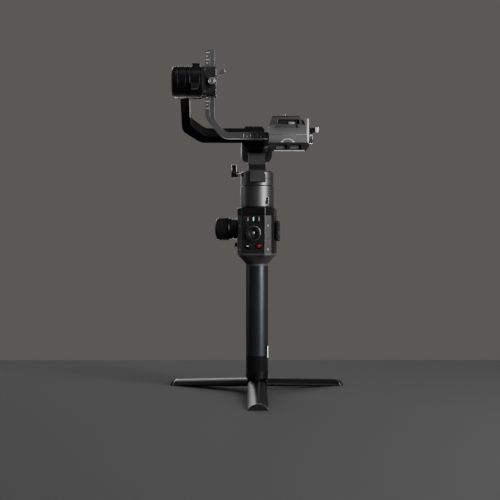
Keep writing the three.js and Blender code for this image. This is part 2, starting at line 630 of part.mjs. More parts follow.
function baseLever() {
  const [y] = BASE_LEVER_AT;
  const boss = rod('x', 7.5, [BASE_X[1] + GAP, 78], BASE_LEVER_AT);
  const stem = rod('x', 2.4, [69.3, 75], BASE_LEVER_AT, 12);
  const paddle = prism('y', [[77, 358], [82, 358], [82, 371.5], [87.5, 373], [87.5, 379], [77, 377]],
    [y - 4, y + 4]);
  return join(boss, stem, paddle);
}

function cameraPlate() {
  const low = BASE_Z[2] + GAP;
  const plate = prism('y', [[24.5, 376.3], [57.5, 376.3], [54.6, low], [66.8, low], [61, PLATE_TOP_Z],
    [21, PLATE_TOP_Z], [17.2, low], [27.4, low]], PLATE_Y);
  const recess = box([30, 50], [PLATE_Y[0] - 1, PLATE_Y[0] + 3], [383, 389]);
  const pocket = rod('z', 7.3, [370, 386.3], SCREW_AT);
  return cut(plate, recess, pocket, rod('z', 3.5, [380, 400], SCREW_AT, 16));
}

function cameraScrew() {
  const [x] = SCREW_AT;
  const screw = turned('z', [[0, 381], [7, 381], [7, 386], [3.1, 386], [3.1, 397.4], [2.6, 398], [0, 398]],
    SCREW_AT, FINE);
  return cut(screw, box([x - 0.8, x + 0.8], [-30, 5], [380, 382.5]));
}

function buildCameraMount() {
  part(gimbal, 'camera_rail', cameraRail(), GREY_METAL);
  part(gimbal, 'base_block', baseBlock(), BLACK_SATIN);
  part(gimbal, 'base_tray', baseTray(), BLACK_PLASTIC);
  part(gimbal, 'base_lever', baseLever(), STEEL);
  part(gimbal, 'camera_plate', cameraPlate(), BLACK_SATIN);
  const pad = box([21.4, 60.6], [PLATE_Y[0] + 1, PLATE_Y[1] - 1], [PLATE_TOP_Z + GAP, PAD_TOP_Z]);
  part(gimbal, 'plate_pad', cut(pad, rod('z', 4, [380, 400], SCREW_AT, 16)), RUBBER);
  part(gimbal, 'camera_screw', cameraScrew(), STEEL);
}

buildTripod();
buildGrip();
buildHandle();
buildPan();
buildRoll();
buildTilt();
buildCameraMount();

export default gimbal;
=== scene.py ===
"""A three-axis camera gimbal on its folding tripod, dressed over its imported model."""

import json
import math

import bmesh
import bpy
from mathutils import Matrix, Vector


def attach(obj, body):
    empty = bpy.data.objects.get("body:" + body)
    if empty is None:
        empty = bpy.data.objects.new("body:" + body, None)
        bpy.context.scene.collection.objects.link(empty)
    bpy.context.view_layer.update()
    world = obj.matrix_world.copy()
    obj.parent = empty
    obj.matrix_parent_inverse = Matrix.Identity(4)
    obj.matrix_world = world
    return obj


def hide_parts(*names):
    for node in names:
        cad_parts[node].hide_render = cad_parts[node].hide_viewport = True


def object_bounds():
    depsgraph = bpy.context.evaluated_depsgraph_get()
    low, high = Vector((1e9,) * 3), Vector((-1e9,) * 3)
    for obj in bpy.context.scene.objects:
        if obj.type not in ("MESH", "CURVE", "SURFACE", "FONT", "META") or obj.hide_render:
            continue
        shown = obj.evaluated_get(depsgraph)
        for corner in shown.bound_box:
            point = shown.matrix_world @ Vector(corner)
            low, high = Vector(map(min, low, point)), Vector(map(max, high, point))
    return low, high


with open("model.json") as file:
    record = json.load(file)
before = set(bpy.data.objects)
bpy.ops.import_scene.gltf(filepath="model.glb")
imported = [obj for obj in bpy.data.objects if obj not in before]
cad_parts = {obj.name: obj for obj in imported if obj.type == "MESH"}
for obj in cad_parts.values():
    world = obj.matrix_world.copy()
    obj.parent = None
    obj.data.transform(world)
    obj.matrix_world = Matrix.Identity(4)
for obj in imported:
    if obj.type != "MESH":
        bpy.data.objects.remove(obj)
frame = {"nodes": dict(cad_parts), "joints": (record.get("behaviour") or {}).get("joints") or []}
cad_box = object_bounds()
joint_named = {joint["name"]: joint for joint in frame["joints"]}

# ----------------------------------------------------------------------------------------
# The room: a table under dark cloth with its back edge close behind the part, one tall soft
# light at the front right and weak ones at the left, behind, above and low behind the legs.
VIEW_DISTANCE = 1.241
VIEW_ASIDE = -0.0101
VIEW_HEIGHT = 0.206
VIEW_LENS = 61.6
floor_z = cad_box[0].z
object_middle = (cad_box[0] + cad_box[1]) / 2

camera = bpy.data.objects.new("camera", bpy.data.cameras.new("camera"))
camera.data.lens = VIEW_LENS
camera.location = (VIEW_ASIDE, -VIEW_DISTANCE, floor_z + VIEW_HEIGHT)
camera.rotation_euler = (math.radians(90), 0, 0)
bpy.context.scene.collection.objects.link(camera)
bpy.context.scene.camera = camera


def soft_light(name, place, size, power, colour):
    lamp = bpy.data.lights.new(name, "AREA")
    lamp.shape = "RECTANGLE"
    lamp.size, lamp.size_y = size
    lamp.energy = power
    lamp.color = colour
    holder = bpy.data.objects.new(name, lamp)
    holder.location = place
    holder.rotation_euler = (object_middle - Vector(place)).to_track_quat("-Z", "Y").to_euler()
    holder.visible_camera = False
    bpy.context.scene.collection.objects.link(holder)


soft_light("key_light", (1.15, -0.95, 0.7), (0.6, 1.1), 40, (1.0, 0.98, 0.96))
soft_light("left_light", (-1.6, 0.3, 0.6), (0.2, 1.0), 2, (0.95, 0.97, 1.0))
soft_light("back_light", (-0.6, 1.6, 0.9), (1.6, 1.0), 12, (1.0, 1.0, 1.0))
soft_light("top_light", (0.3, -0.5, 1.9), (0.9, 0.7), 5, (1.0, 1.0, 1.0))
soft_light("low_light", (0.0, 1.0, -0.45), (2.0, 0.2), 16, (1.0, 1.0, 1.0))

ROOM_COLOUR = (0.2, 0.188, 0.176, 1)
ROOM_STRENGTH = 0.55
world = bpy.data.worlds.new("room")
world.use_nodes = True
world.node_tree.nodes["Background"].inputs["Color"].default_value = ROOM_COLOUR
world.node_tree.nodes["Background"].inputs["Strength"].default_value = ROOM_STRENGTH
bpy.context.scene.world = world

FLOOR_HALF = 6
TABLE_EDGE = 0.36
CLOTH_COLOUR = (0.045, 0.045, 0.047, 1)
CLOTH_ROUGHNESS = 0.95
floor_shape = bmesh.new()
bmesh.ops.create_grid(floor_shape, x_segments=1, y_segments=1, size=FLOOR_HALF)
floor_mesh = bpy.data.meshes.new("floor")
floor_shape.to_mesh(floor_mesh)
floor_mesh.transform(Matrix.Translation((0, TABLE_EDGE - FLOOR_HALF, floor_z)))
floor = bpy.data.objects.new("floor", floor_mesh)
bpy.context.scene.collection.objects.link(floor)
floor_paint = bpy.data.materials.new("dark_cloth")
floor_paint.use_nodes = True
floor_shader = floor_paint.node_tree.nodes["Principled BSDF"]
floor_shader.inputs["Base Color"].default_value = CLOTH_COLOUR
floor_shader.inputs["Roughness"].default_value = CLOTH_ROUGHNESS
floor_mesh.materials.append(floor_paint)

# ----------------------------------------------------------------------------------------
# Battery grip tube: a drawn aluminium tube, bead-blasted and anodised blue-grey, with a slot
# at its lower right for the window of the end band. The two battery cells slide inside it.
MM = 0.001
WORLD = Matrix.Identity(4)
SHARP_ANGLE = math.radians(32)
FLAT_ANGLE = math.radians(0.5)
FLATTEN_ANGLE = math.radians(0.3)
CURVED_WIDTH = 3.2
WELD = 0.001
BEVEL_STEPS = 3


def span(node, place=WORLD):
    """A node's (low, high) along each axis of a placing frame, in millimetres."""
    back = place.inverted()
    points = [(back @ v.co) / MM for v in frame["nodes"][node].data.vertices]
    return [(min(p[i] for p in points), max(p[i] for p in points)) for i in range(3)]


def turned(profile, axis="Z", at=(0, 0, 0), steps=96, start=0):
    """A turned shape from a profile of (radius, distance from the start), in millimetres."""
    bm = bmesh.new()
    verts = [bm.verts.new((r, 0, start + h)) for r, h in profile]
    edges = [bm.edges.new(pair) for pair in zip(verts, verts[1:])]
    if profile[0][0] > 0:
        edges.append(bm.edges.new((verts[-1], verts[0])))
    bmesh.ops.spin(bm, geom=verts + edges, cent=(0, 0, 0), axis=(0, 0, 1), angle=math.tau, steps=steps,
                   use_merge=True)
    bmesh.ops.remove_doubles(bm, verts=bm.verts, dist=WELD)
    to_axis = {"X": Matrix.Rotation(math.pi / 2, 4, "Y"), "Y": Matrix.Rotation(-math.pi / 2, 4, "X"),
               "Z": WORLD}[axis]
    bmesh.ops.transform(bm, matrix=Matrix.Translation(at) @ to_axis, verts=bm.verts)
    bmesh.ops.recalc_face_normals(bm, faces=bm.faces)
    return bm


def rod(radius, low, high, axis="Z", at=(0, 0, 0), steps=96):
    """A plain cylinder."""
    return turned([(0, low), (radius, low), (radius, high), (0, high)], axis, at, steps)


def slab(outline, low, high, axis="Z"):
    """A straight slab: the outline's two coordinates are the other two axes, in X, Y, Z order."""
    lift = {"X": lambda u, v, w: (w, u, v), "Y": lambda u, v, w: (u, w, v),
            "Z": lambda u, v, w: (u, v, w)}[axis]
    bm = bmesh.new()
    face = bm.faces.new([bm.verts.new(lift(u, v, low)) for u, v in outline])
    raised = bmesh.ops.extrude_face_region(bm, geom=[face])["geom"]
    raised_verts = [item for item in raised if isinstance(item, bmesh.types.BMVert)]
    bmesh.ops.translate(bm, vec=lift(0, 0, high - low), verts=raised_verts)
    bmesh.ops.recalc_face_normals(bm, faces=bm.faces)
    return bm


def rounded(outline, radius, steps=6):
    """An outline with each corner turned into a smooth bend; one radius, or one per corner."""
    radii = radius if isinstance(radius, list) else [radius] * len(outline)
    points = []
    for i, corner in enumerate(outline):
        here = Vector(corner)
        before = Vector(outline[i - 1]) - here
        after = Vector(outline[(i + 1) % len(outline)]) - here
        half_angle = before.angle(after) / 2
        if radii[i] == 0:
            points.append(tuple(here))
            continue
        reach = min(radii[i] / math.tan(half_angle), 0.49 * before.length, 0.49 * after.length)
        start, end = here + before.normalized() * reach, here + after.normalized() * reach
        for k in range(steps + 1):
            t = k / steps
            points.append(tuple(start * (1 - t) ** 2 + here * 2 * t * (1 - t) + end * t * t))
    return points


def moved(outline, by):
    return [(by[0] + u, by[1] + v) for u, v in outline]


def rectangle(u, v, radius=0.0):
    corners = [(u[0], v[0]), (u[1], v[0]), (u[1], v[1]), (u[0], v[1])]
    return rounded(corners, radius) if radius else corners


def brick(u, v, w, axis="Z", radius=0.0):
    """A block between (low, high) pairs; w is along the axis, and the other sides are rounded."""
    return slab(rectangle(u, v, radius), *w, axis)


def combined(base, tool, operation):
    """Cuts, joins or intersects two closed shapes."""
    holders = []
    for shape in (base, tool):
        mesh = bpy.data.meshes.new("cutting")
        shape.to_mesh(mesh)
        shape.free()
        holders.append(bpy.data.objects.new("cutting", mesh))
        bpy.context.scene.collection.objects.link(holders[-1])
    modifier = holders[0].modifiers.new("cut", "BOOLEAN")
    modifier.object = holders[1]
    modifier.operation = operation
    modifier.solver = "EXACT"
    finished = holders[0].evaluated_get(bpy.context.evaluated_depsgraph_get())
    result = bmesh.new()
    result.from_mesh(bpy.data.meshes.new_from_object(finished))
    for holder in holders:
        bpy.data.meshes.remove(holder.data)
    return result


def cut(base, *tools):
    for tool in tools:
        base = combined(base, tool, "DIFFERENCE")
    return base


def about(bm, degrees, axis="Z", centre=(0, 0, 0)):
    """Turns a shape about an axis through a centre."""
    turn = Matrix.Translation(centre) @ Matrix.Rotation(math.radians(degrees), 4, axis)
    bmesh.ops.transform(bm, matrix=turn @ Matrix.Translation(-Vector(centre)), verts=bm.verts)
    return bm


def piece(name, bm, body, material, place=WORLD, edge=0.35, stands_for=()):
    """Turns a millimetre shape into a finished piece with rounded edges, riding on its body.

    A narrow face that bends softly into its neighbour is a strip of a curve and shades smooth.
    """
    bmesh.ops.remove_doubles(bm, verts=bm.verts, dist=2 * WELD)
    bmesh.ops.dissolve_limit(bm, angle_limit=FLATTEN_ANGLE, verts=bm.verts, edges=bm.edges)
    bmesh.ops.transform(bm, matrix=place @ Matrix.Scale(MM, 4), verts=bm.verts)
    for face in bm.faces:
        narrow = 2 * face.calc_area() / face.calc_perimeter() < CURVED_WIDTH * MM
        bends = (side.calc_face_angle(0) for side in face.edges)
        face.smooth = narrow and any(FLAT_ANGLE < bend < SHARP_ANGLE for bend in bends)
    mesh = bpy.data.meshes.new(name)
    bm.to_mesh(mesh)
    bm.free()
    mesh.set_sharp_from_angle(angle=SHARP_ANGLE)
    made = bpy.data.objects.new(name, mesh)
    bpy.context.scene.collection.objects.link(made)
    if edge:
        bevel = made.modifiers.new("rounded_edges", "BEVEL")
        bevel.width = edge * MM
        bevel.segments = BEVEL_STEPS
        bevel.limit_method = "ANGLE"
        bevel.angle_limit = SHARP_ANGLE
    shading = made.modifiers.new("even_shading", "WEIGHTED_NORMAL")
    shading.weight = 80
    shading.keep_sharp = True
    mesh.materials.append(material)
    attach(made, body)
    if stands_for:
        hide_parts(*stands_for)
    return made


def node(made, kind, **values):
    """Adds a shader node with its inputs set; an underscore in a name stands for a space."""
    added = made.node_tree.nodes.new("ShaderNode" + kind)
    if kind == "Mix":
        added.data_type = "RGBA"
    for entry, value in values.items():
        added.inputs[entry.replace("_", " ")].default_value = value
    return added


def wire(made, *links):
    """Joins nodes, each link given as (from node, its output, to node, its input)."""
    for source, output, target, entry in links:
        made.node_tree.links.new(source.outputs[output], target.inputs[entry])


def surface(name, colour, sheens, shades, clouds, grain, relief, **values):
    """A finish whose colour and sheen drift in soft clouds, over a fine grain in relief."""
    made = bpy.data.materials.new(name)
    made.use_nodes = True
    shader = made.node_tree.nodes["Principled BSDF"]
    for entry, value in values.items():
        shader.inputs[entry.replace("_", " ")].default_value = value
    where = node(made, "TexCoord")
    cloud = node(made, "TexNoise", Scale=clouds[0], Detail=clouds[1])
    fine = node(made, grain[0], **grain[2])
    sheen = node(made, "MapRange", To_Min=sheens[0], To_Max=sheens[1])
    dark, pale = [(*(c * shade for c in colour), 1) for shade in shades]
    tint = node(made, "Mix", A=dark, B=pale)
    tint.name = "tint"
    bump = node(made, "Bump", Strength=relief[0], Distance=relief[1])
    wire(made, (where, "Object", cloud, "Vector"), (where, "Object", fine, "Vector"),
         (cloud, "Fac", sheen, "Value"), (cloud, "Fac", tint, "Factor"), (fine, grain[1], bump, "Height"),
         (bump, "Normal", shader, "Normal"), (sheen, "Result", shader, "Roughness"),
         (tint, "Result", shader, "Base Color"))
    return made


def metal(name, colour, roughness, metallic, grain=3500, worn_and_glint=0.0):
    """An anodised or bare metal: blasted grain, slightly uneven sheen, and edges painted lighter, partly as
    wear and partly as a painted highlight along the chamfers.
    """
    made = surface(name, colour, (roughness - 0.05, roughness + 0.07), (0.85, 1.18), (38, 5),
                   ("TexNoise", "Fac", {"Scale": grain, "Detail": 2}), (0.12, 0.00004), Metallic=metallic,
                   Specular_IOR_Level=0.3)
    if worn_and_glint:
        # Pointiness finds the edges and lightens their colour: part rubbed wear, part a painted highlight
        # standing for the light the chamfers catch.
        nodes = made.node_tree.nodes
        edges = node(made, "NewGeometry")
        wear_and_glint_mask = node(made, "MapRange", From_Min=0.53, From_Max=0.62, To_Max=worn_and_glint)
        wear_and_glint_edges = node(made, "Mix", B=(0.3, 0.3, 0.31, 1))
        wire(made, (edges, "Pointiness", wear_and_glint_mask, "Value"), (wear_and_glint_mask, "Result", wear_and_glint_edges, "Factor"),
             (nodes["tint"], "Result", wear_and_glint_edges, "A"),
             (wear_and_glint_edges, "Result", nodes["Principled BSDF"], "Base Color"))
    return made


blue_grey = metal("blue_grey_anodised", (0.05, 0.056, 0.068), 0.34, 0.8)
TUBE_WALL = 2.6
SEAT = 0.3
WINDOW_HALF = 7.5
WINDOW_BEND = 3
WINDOW_REACH = (8, 20)
tube_z = span("grip_tube")[2]
tube_r = span("grip_tube")[1][1]
band_top = tube_z[0] - SEAT
window_top = span("grip_end_band")[2][1]
light_x, light_y, light_z = span("battery_light")
window_turn = math.degrees(math.atan2(sum(light_y), sum(light_x)))


def window_block(spare):
    across = (-WINDOW_HALF - spare, WINDOW_HALF + spare)
    outline = rounded(rectangle(across, (band_top - WINDOW_BEND, window_top + spare)),
                      [0, 0, WINDOW_BEND + spare, WINDOW_BEND + spare])
    return about(slab(outline, *WINDOW_REACH, "X"), window_turn)


tube = turned([(tube_r - TUBE_WALL, tube_z[0]), (tube_r, tube_z[0]), (tube_r, tube_z[1]),
               (tube_r - TUBE_WALL, tube_z[1])])
piece("tube_sleeve", cut(tube, window_block(SEAT)), "grip", blue_grey,
      stands_for=["grip_tube"])

# ----------------------------------------------------------------------------------------
# End band: a moulded piece in polished black acrylic that closes the tube. Its lower edge is
# cut on a slant to meet the tripod hub, and a tongue of it rises on the right as the window
# over the battery light, a lit diffuser strip.


def moulded(name, colour, roughness, texture=2200, depth=0.00003, coat=0.0):
    """A moulded plastic or rubber with its fine tool texture and faint smears."""
    return surface(name, colour, (max(0.03, roughness - 0.05), roughness + 0.08), (0.8, 1.2), (55, 6),
                   ("TexVoronoi", "Distance", {"Scale": texture}), (0.2, depth), Coat_Weight=coat,
                   Specular_IOR_Level=0.25)


def glowing(name, colour, glow):
    """A lit diffuser, a little uneven over its length."""
    made = moulded(name, colour, 0.3)
    shader = made.node_tree.nodes["Principled BSDF"]
    shader.inputs["Emission Color"].default_value = (*colour, 1)
    where = node(made, "TexCoord")
    cloud = node(made, "TexNoise", Scale=180)
    level = node(made, "MapRange", To_Min=glow * 0.75, To_Max=glow * 1.25)
    wire(made, (where, "Object", cloud, "Vector"), (cloud, "Fac", level, "Value"),
         (level, "Result", shader, "Emission Strength"))
    return made


def joined(base, *tools):
    for tool in tools:
        base = combined(base, tool, "UNION")
    return base


gloss_black = moulded("polished_black", (0.006, 0.006, 0.007), 0.1, texture=900, depth=0.000004, coat=0.3)
battery_glow = glowing("battery_glow", (0.55, 1.0, 0.82), 1.6)
BAY_FLOOR = 36.5
BAY_R = 13
STRIP_HALF = 1.25
STRIP_FLOOR = 15
CUT_LOW, CUT_HIGH = 10, 90
hub_top = span("tripod_hub")[2][1]
band_low = span("grip_end_band")[2][0]
seam_middle = (hub_top + band_low) / 2
seam_rise = (hub_top - band_low) / (2 * tube_r)


def half_kept(bm, point, normal):
    """Keeps the part of a closed shape on the side that the normal points to, and closes it."""
    geometry = bm.verts[:] + bm.edges[:] + bm.faces[:]
    bmesh.ops.bisect_plane(bm, geom=geometry, plane_co=point, plane_no=normal, clear_inner=True)
    bmesh.ops.holes_fill(bm, edges=[edge for edge in bm.edges if edge.is_boundary])
    bmesh.ops.recalc_face_normals(bm, faces=bm.faces)
    return bm


seam_up = Vector((-seam_rise, 0, 1))
band = half_kept(rod(tube_r, CUT_LOW, band_top), (0, 0, seam_middle + SEAT / 2), seam_up)
window = combined(window_block(0), rod(tube_r, 2 * CUT_LOW, CUT_HIGH), "INTERSECT")
bay = rod(BAY_R, BAY_FLOOR, CUT_HIGH)
strip_slot = brick((-STRIP_HALF - SEAT, STRIP_HALF + SEAT), (light_z[0] - SEAT, light_z[1] + SEAT),
                   (STRIP_FLOOR, 20), "X", STRIP_HALF)
band = cut(joined(band, window), bay, about(strip_slot, window_turn))
piece("end_band", band, "grip", gloss_black, edge=0.6, stands_for=["grip_end_band"])
strip = brick((-STRIP_HALF, STRIP_HALF), light_z, (STRIP_FLOOR + 0.2, tube_r + 0.12), "X", 1.1)
strip = about(strip, window_turn)
piece("battery_light_strip", strip, "grip", battery_glow, edge=0.15,
      stands_for=["battery_light"])

# ----------------------------------------------------------------------------------------
# Tripod: a machined hub with three ears, and three legs cut from thirds of a tube that close
# into one when folded. Steel pins join them, all at one distance from the middle. Each leg
# ends in a bright turned rim and a moulded rubber foot.
HUB_CORE_R = 7.0
HUB_CORE_TOP = 21
HUB_CAP_TOP = 45
EAR_ROOT = 5
EAR_HALF = 3.0
EAR_R = 4.2
CAP_LOW = 19.4
LEG_INNER_R = 9.0
LEG_HALF_ANGLE = 59.0
SLOT_REACH = 5.2
RIM_LENGTH = 1.2
PIN_HALF = 10
LEG_DEPTHS = (-8, -3.5)
LEG_GROOVE = [(13.7, 59), (13.7, 53.5), (11.1, 52.5), (11.1, 59)]

black_metal = metal("black_anodised", (0.024, 0.024, 0.026), 0.34, 0.92, worn_and_glint=0.2)
rubber = moulded("black_rubber", (0.008, 0.008, 0.008), 0.7, texture=1500, depth=0.00008)
steel = metal("machined_steel", (0.42, 0.42, 0.43), 0.3, 1.0, grain=1800)
bright_metal = metal("bright_turned_aluminium", (0.6, 0.6, 0.62), 0.3, 1.0)

hub = half_kept(rod(tube_r, CAP_LOW, HUB_CAP_TOP), (0, 0, seam_middle), -seam_up)
hub = joined(hub, rod(HUB_CORE_R, 0, HUB_CORE_TOP, steps=48))
leg_places = {}
for number in (1, 2, 3):
    fold = joint_named[f"leg_{number}_fold"]
    pivot = Vector(fold["pos_m"])
    across = Vector(fold["axis"])
    reach = pivot.to_2d().length / MM
    pivot_z = pivot.z / MM
    azimuth = math.degrees(math.atan2(pivot.y, pivot.x))
    ear = rounded([(EAR_ROOT, pivot_z - EAR_R), (reach + EAR_R, pivot_z - EAR_R),
                   (reach + EAR_R, pivot_z + EAR_R), (reach + 2.5, CAP_LOW + 1),
                   (EAR_ROOT, CAP_LOW + 1)], [0, EAR_R, EAR_R, 0, 0])
    hub = joined(hub, about(slab(ear, -EAR_HALF, EAR_HALF, "Y"), azimuth))
    slope = math.radians(90 - fold["range_deg"][1])
    outward = pivot.to_2d().normalized().to_3d()
    along = outward * math.cos(slope) - Vector((0, 0, 1)) * math.sin(slope)
    turn = Matrix((along, across, along.cross(across))).transposed().to_4x4()
    leg_places[number] = Matrix.Translation(pivot) @ turn
piece("hub", hub, "grip", black_metal, edge=0.5, stands_for=["tripod_hub"])


def leg_outline(outer, steps=28):
    """The section of one leg: a third of the tube wall with a groove along each flat side."""
    def at(r, degrees):
        return (r * math.sin(math.radians(degrees)), r * math.cos(math.radians(degrees)) - reach)
    outside = [at(outer, LEG_HALF_ANGLE * (2 * k / steps - 1)) for k in range(steps + 1)]
    inside = [at(LEG_INNER_R, LEG_HALF_ANGLE * (1 - 2 * k / steps)) for k in range(steps + 1)]
    grooved = [at(r, d) for r, d in LEG_GROOVE] + inside + [at(r, -d) for r, d in reversed(LEG_GROOVE)]
    return outside + grooved


def leg_stretch(outer, x, line):
    """A stretch of a leg above a straight underside through two points, each (along, up)."""
    (x0, z0), (x1, z1) = line
    up = Vector((z0 - z1, 0, x1 - x0))
    return half_kept(slab(leg_outline(outer), x[0], x[1], "X"), (x0, 0, z0), up)


for number, place in leg_places.items():
    body = f"leg_{number}"
    leg_x = span(f"tripod_leg_{number}", place)[0]
    foot_x, _, foot_z = span(f"foot_pad_{number}", place)
    underside = [(leg_x[0], LEG_DEPTHS[0]), (foot_x[1], LEG_DEPTHS[1])]
    shell = leg_stretch(tube_r, (leg_x[0], leg_x[1] - RIM_LENGTH), underside)
    slot_block = brick((-EAR_HALF - SEAT, EAR_HALF + SEAT), (-12, 12), (leg_x[0] - 5, SLOT_REACH), "X")
    piece(f"leg_{number}_shell", cut(shell, slot_block), body, black_metal, place, 0.45,
          [f"tripod_leg_{number}"])
    rim = leg_stretch(tube_r + 0.15, (leg_x[1] - RIM_LENGTH, leg_x[1]), underside)
    piece(f"leg_{number}_rim", rim, body, bright_metal, place, 0.3)
    tread = [(foot_x[0], foot_z[0]), (foot_x[1], foot_z[0] + (foot_x[1] - foot_x[0]) * math.tan(slope))]
    pad = leg_stretch(tube_r - 0.4, (foot_x[0], foot_x[1] - SEAT), tread)
    piece(f"leg_{number}_foot", pad, body, rubber, place, 1.0, [f"foot_pad_{number}"])
    pin = turned([(0, -PIN_HALF), (1.1, -PIN_HALF), (1.5, 0.4 - PIN_HALF), (1.5, PIN_HALF - 0.4),
                  (1.1, PIN_HALF), (0, PIN_HALF)], "Y", steps=32)
    socket = rod(0.7, 8.9, 11, "Y", steps=6)
    piece(f"leg_{number}_hinge_pin", cut(pin, socket), "grip", steel, place, 0.1,
          [f"leg_pin_{number}"])

# ----------------------------------------------------------------------------------------
# Collar: a machined aluminium transition, a short round neck over the tube that opens in flat
# facets to the eight-sided shape of the handle. It is screwed up into the handle from inside.
press = Vector(joint_named["mode_press"]["axis"])
HANDLE = Matrix.Rotation(math.atan2(-press.x, press.y), 4, "Z")
front_x, front_y, front_z = span("housing_front", HANDLE)
half_width, panel_y = front_x[1], front_y[0]
back_y = span("housing_rear", HANDLE)[1][1]
PANEL_HALF = 16.5
FACETS = [(24.6, -18.8), (half_width, -11)]
BACK_FACETS = [(half_width, 11), (24, 18), (19, 23), (12, back_y)]
NECK_R = 17.2
COLLAR_FIT = 0.97
FLARE_STEPS = 8
front_right = [(PANEL_HALF, panel_y), *FACETS]
right_half = [*front_right, *BACK_FACETS]
handle_outline = right_half + [(-x, y) for x, y in reversed(right_half)]


def reach_to(outline, angle):
    """Distance from the centre to the outline in one direction."""
    ray = Vector((math.cos(angle), math.sin(angle)))
    best = 0
    for i, end in enumerate(outline):
        start = Vector(outline[i - 1])
        side = Vector(end) - start
        turn = ray.cross(side)
        if abs(turn) > 1e-9:
            distance = start.cross(side) / turn
            if distance > 0 and -1e-6 <= start.cross(ray) / turn <= 1 + 1e-6:
                best = max(best, distance)
    return best


def lofted(levels, steps=120):
    """A closed shape through levels of (height, radius by angle), bottom to top."""
    bm = bmesh.new()
    loops = []
    for height, radius_at in levels:
        ring = bmesh.ops.create_circle(bm, radius=1, segments=steps)["verts"]
        for vert in ring:
            angle = math.atan2(vert.co.y, vert.co.x)
            radius = radius_at(angle)
            vert.co = (radius * math.cos(angle), radius * math.sin(angle), height)
        loops.append([edge for edge in bm.edges if edge.verts[0] in ring and edge.verts[1] in ring])
    for lower, upper in zip(loops, loops[1:]):
        bmesh.ops.bridge_loops(bm, edges=lower + upper)
    bmesh.ops.holes_fill(bm, edges=[edge for edge in bm.edges if edge.is_boundary])
    bmesh.ops.recalc_face_normals(bm, faces=bm.faces)
    return bm


collar_z = span("grip_collar")[2]
neck = [(collar_z[0], tube_r), (collar_z[0] + 2.2, tube_r), (collar_z[0] + 2.4, tube_r - 0.4),
        (collar_z[0] + 2.8, tube_r - 0.4), (collar_z[0] + 3, tube_r + 0.3)]
FLARE_TOP = 2.6
flare_low, flare_high = collar_z[0] + 4.2, collar_z[1] - FLARE_TOP
levels = [(z, lambda angle, r=r: r) for z, r in neck]
for step in range(FLARE_STEPS + 1):
    mix = step / FLARE_STEPS
    levels.append((flare_low + mix * (flare_high - flare_low),
                   lambda angle, m=mix: (1 - m) * NECK_R + m * COLLAR_FIT * reach_to(handle_outline, angle)))
levels.append((collar_z[1], lambda angle: COLLAR_FIT * reach_to(handle_outline, angle)))
# The collar's satin black is drawn as a lighter, more diffuse grey: painted light standing for the soft
# light on its downward flanks.
collar_lightened_grey = metal("collar_grey_painted_light", (0.07, 0.07, 0.075), 0.5, 0.3, grain=2600)
piece("collar", lofted(levels), "grip", collar_lightened_grey, HANDLE, 0, ["grip_collar"])

# ----------------------------------------------------------------------------------------
# Handle housing: a die-cast front painted satin black and a moulded rear half around the control
# board, joined by socket screws. A gloss black cap closes the top under the pan motor. The front
# has a fine line round its panel and openings for the joystick, two keys and three lights.
WALL = 2.5
SPLIT = 0.15
JOYSTICK_Z = joint_named["joystick_tilt"]["pos_m"][2] / MM
BUTTON_X = 8
BUTTON_R = 4
button_z = sum(span("mode_button", HANDLE)[2]) / 2
guide_z = span("mode_light_guide", HANDLE)[2]
lights_z = (guide_z[0] + 1.25, guide_z[1] - 1.25)
LIGHT_HALF = 0.65
JOYSTICK_HOLE_R = 11.15
CAP_BORE = 9
TRIGGER_WINDOW_Z = (209, 248)
REAR_REACH = (15, 40)
PANEL_INSET = 1.3
PIPE_GAP = 0.2
FRONT_SCREWS_Z = (204.5, 238.5)
REAR_SCREWS_Z = (204.5, 251)
REAR_SCREW_X = 9.2
satin_black = metal("satin_black_paint", (0.055, 0.055, 0.058), 0.36, 0.93, grain=2600, worn_and_glint=0.15)


def half_shell(right_side, split_y, corner_radii):
    outline = [(-x, y) for x, y in right_side] + [(x, y) for x, y in reversed(right_side)]
    outer = slab(rounded(outline, corner_radii + corner_radii[::-1]), *front_z)
    shrink = 1 - WALL / half_width
    inner = [(x * shrink, y * shrink if abs(y) > 1 else y - 20 * split_y) for x, y in outline]
    return cut(outer, slab(inner, front_z[0] + WALL, front_z[1] + WALL))


front_side = [(half_width, -SPLIT), *reversed(front_right)]
front = half_shell(front_side, -SPLIT, [0, 4, 3, 1.2])
through_panel = (panel_y - 2, panel_y + 6)
tools = [rod(JOYSTICK_HOLE_R, *through_panel, "Y", (0, 0, JOYSTICK_Z))]
for side in (-1, 1):
    tools.append(rod(BUTTON_R + SEAT, *through_panel, "Y", (side * BUTTON_X, 0, button_z), 48))
for side in (-1, 0, 1):
    across = (side * BUTTON_X - LIGHT_HALF - PIPE_GAP, side * BUTTON_X + LIGHT_HALF + PIPE_GAP)
    tools.append(brick(across, (lights_z[0] - PIPE_GAP, lights_z[1] + PIPE_GAP), through_panel, "Y",
                       LIGHT_HALF + 0.15))
PANEL_GROOVE = 0.35
panel_u = (-PANEL_HALF + PANEL_INSET, PANEL_HALF - PANEL_INSET)
panel_v = (front_z[0] + 1.6, front_z[1] - 0.6)
inner_u = (panel_u[0] + PANEL_GROOVE, panel_u[1] - PANEL_GROOVE)
inner_v = (panel_v[0] + PANEL_GROOVE, panel_v[1] - PANEL_GROOVE)
groove = cut(brick(panel_u, panel_v, (panel_y - 1, panel_y + 0.35), "Y", 1.6),
             brick(inner_u, inner_v, (panel_y - 2, panel_y + 2), "Y", 1.3))
tools.append(groove)
piece("front_housing", cut(front, *tools), "grip", satin_black, HANDLE, 0.3,
      ["housing_front"])

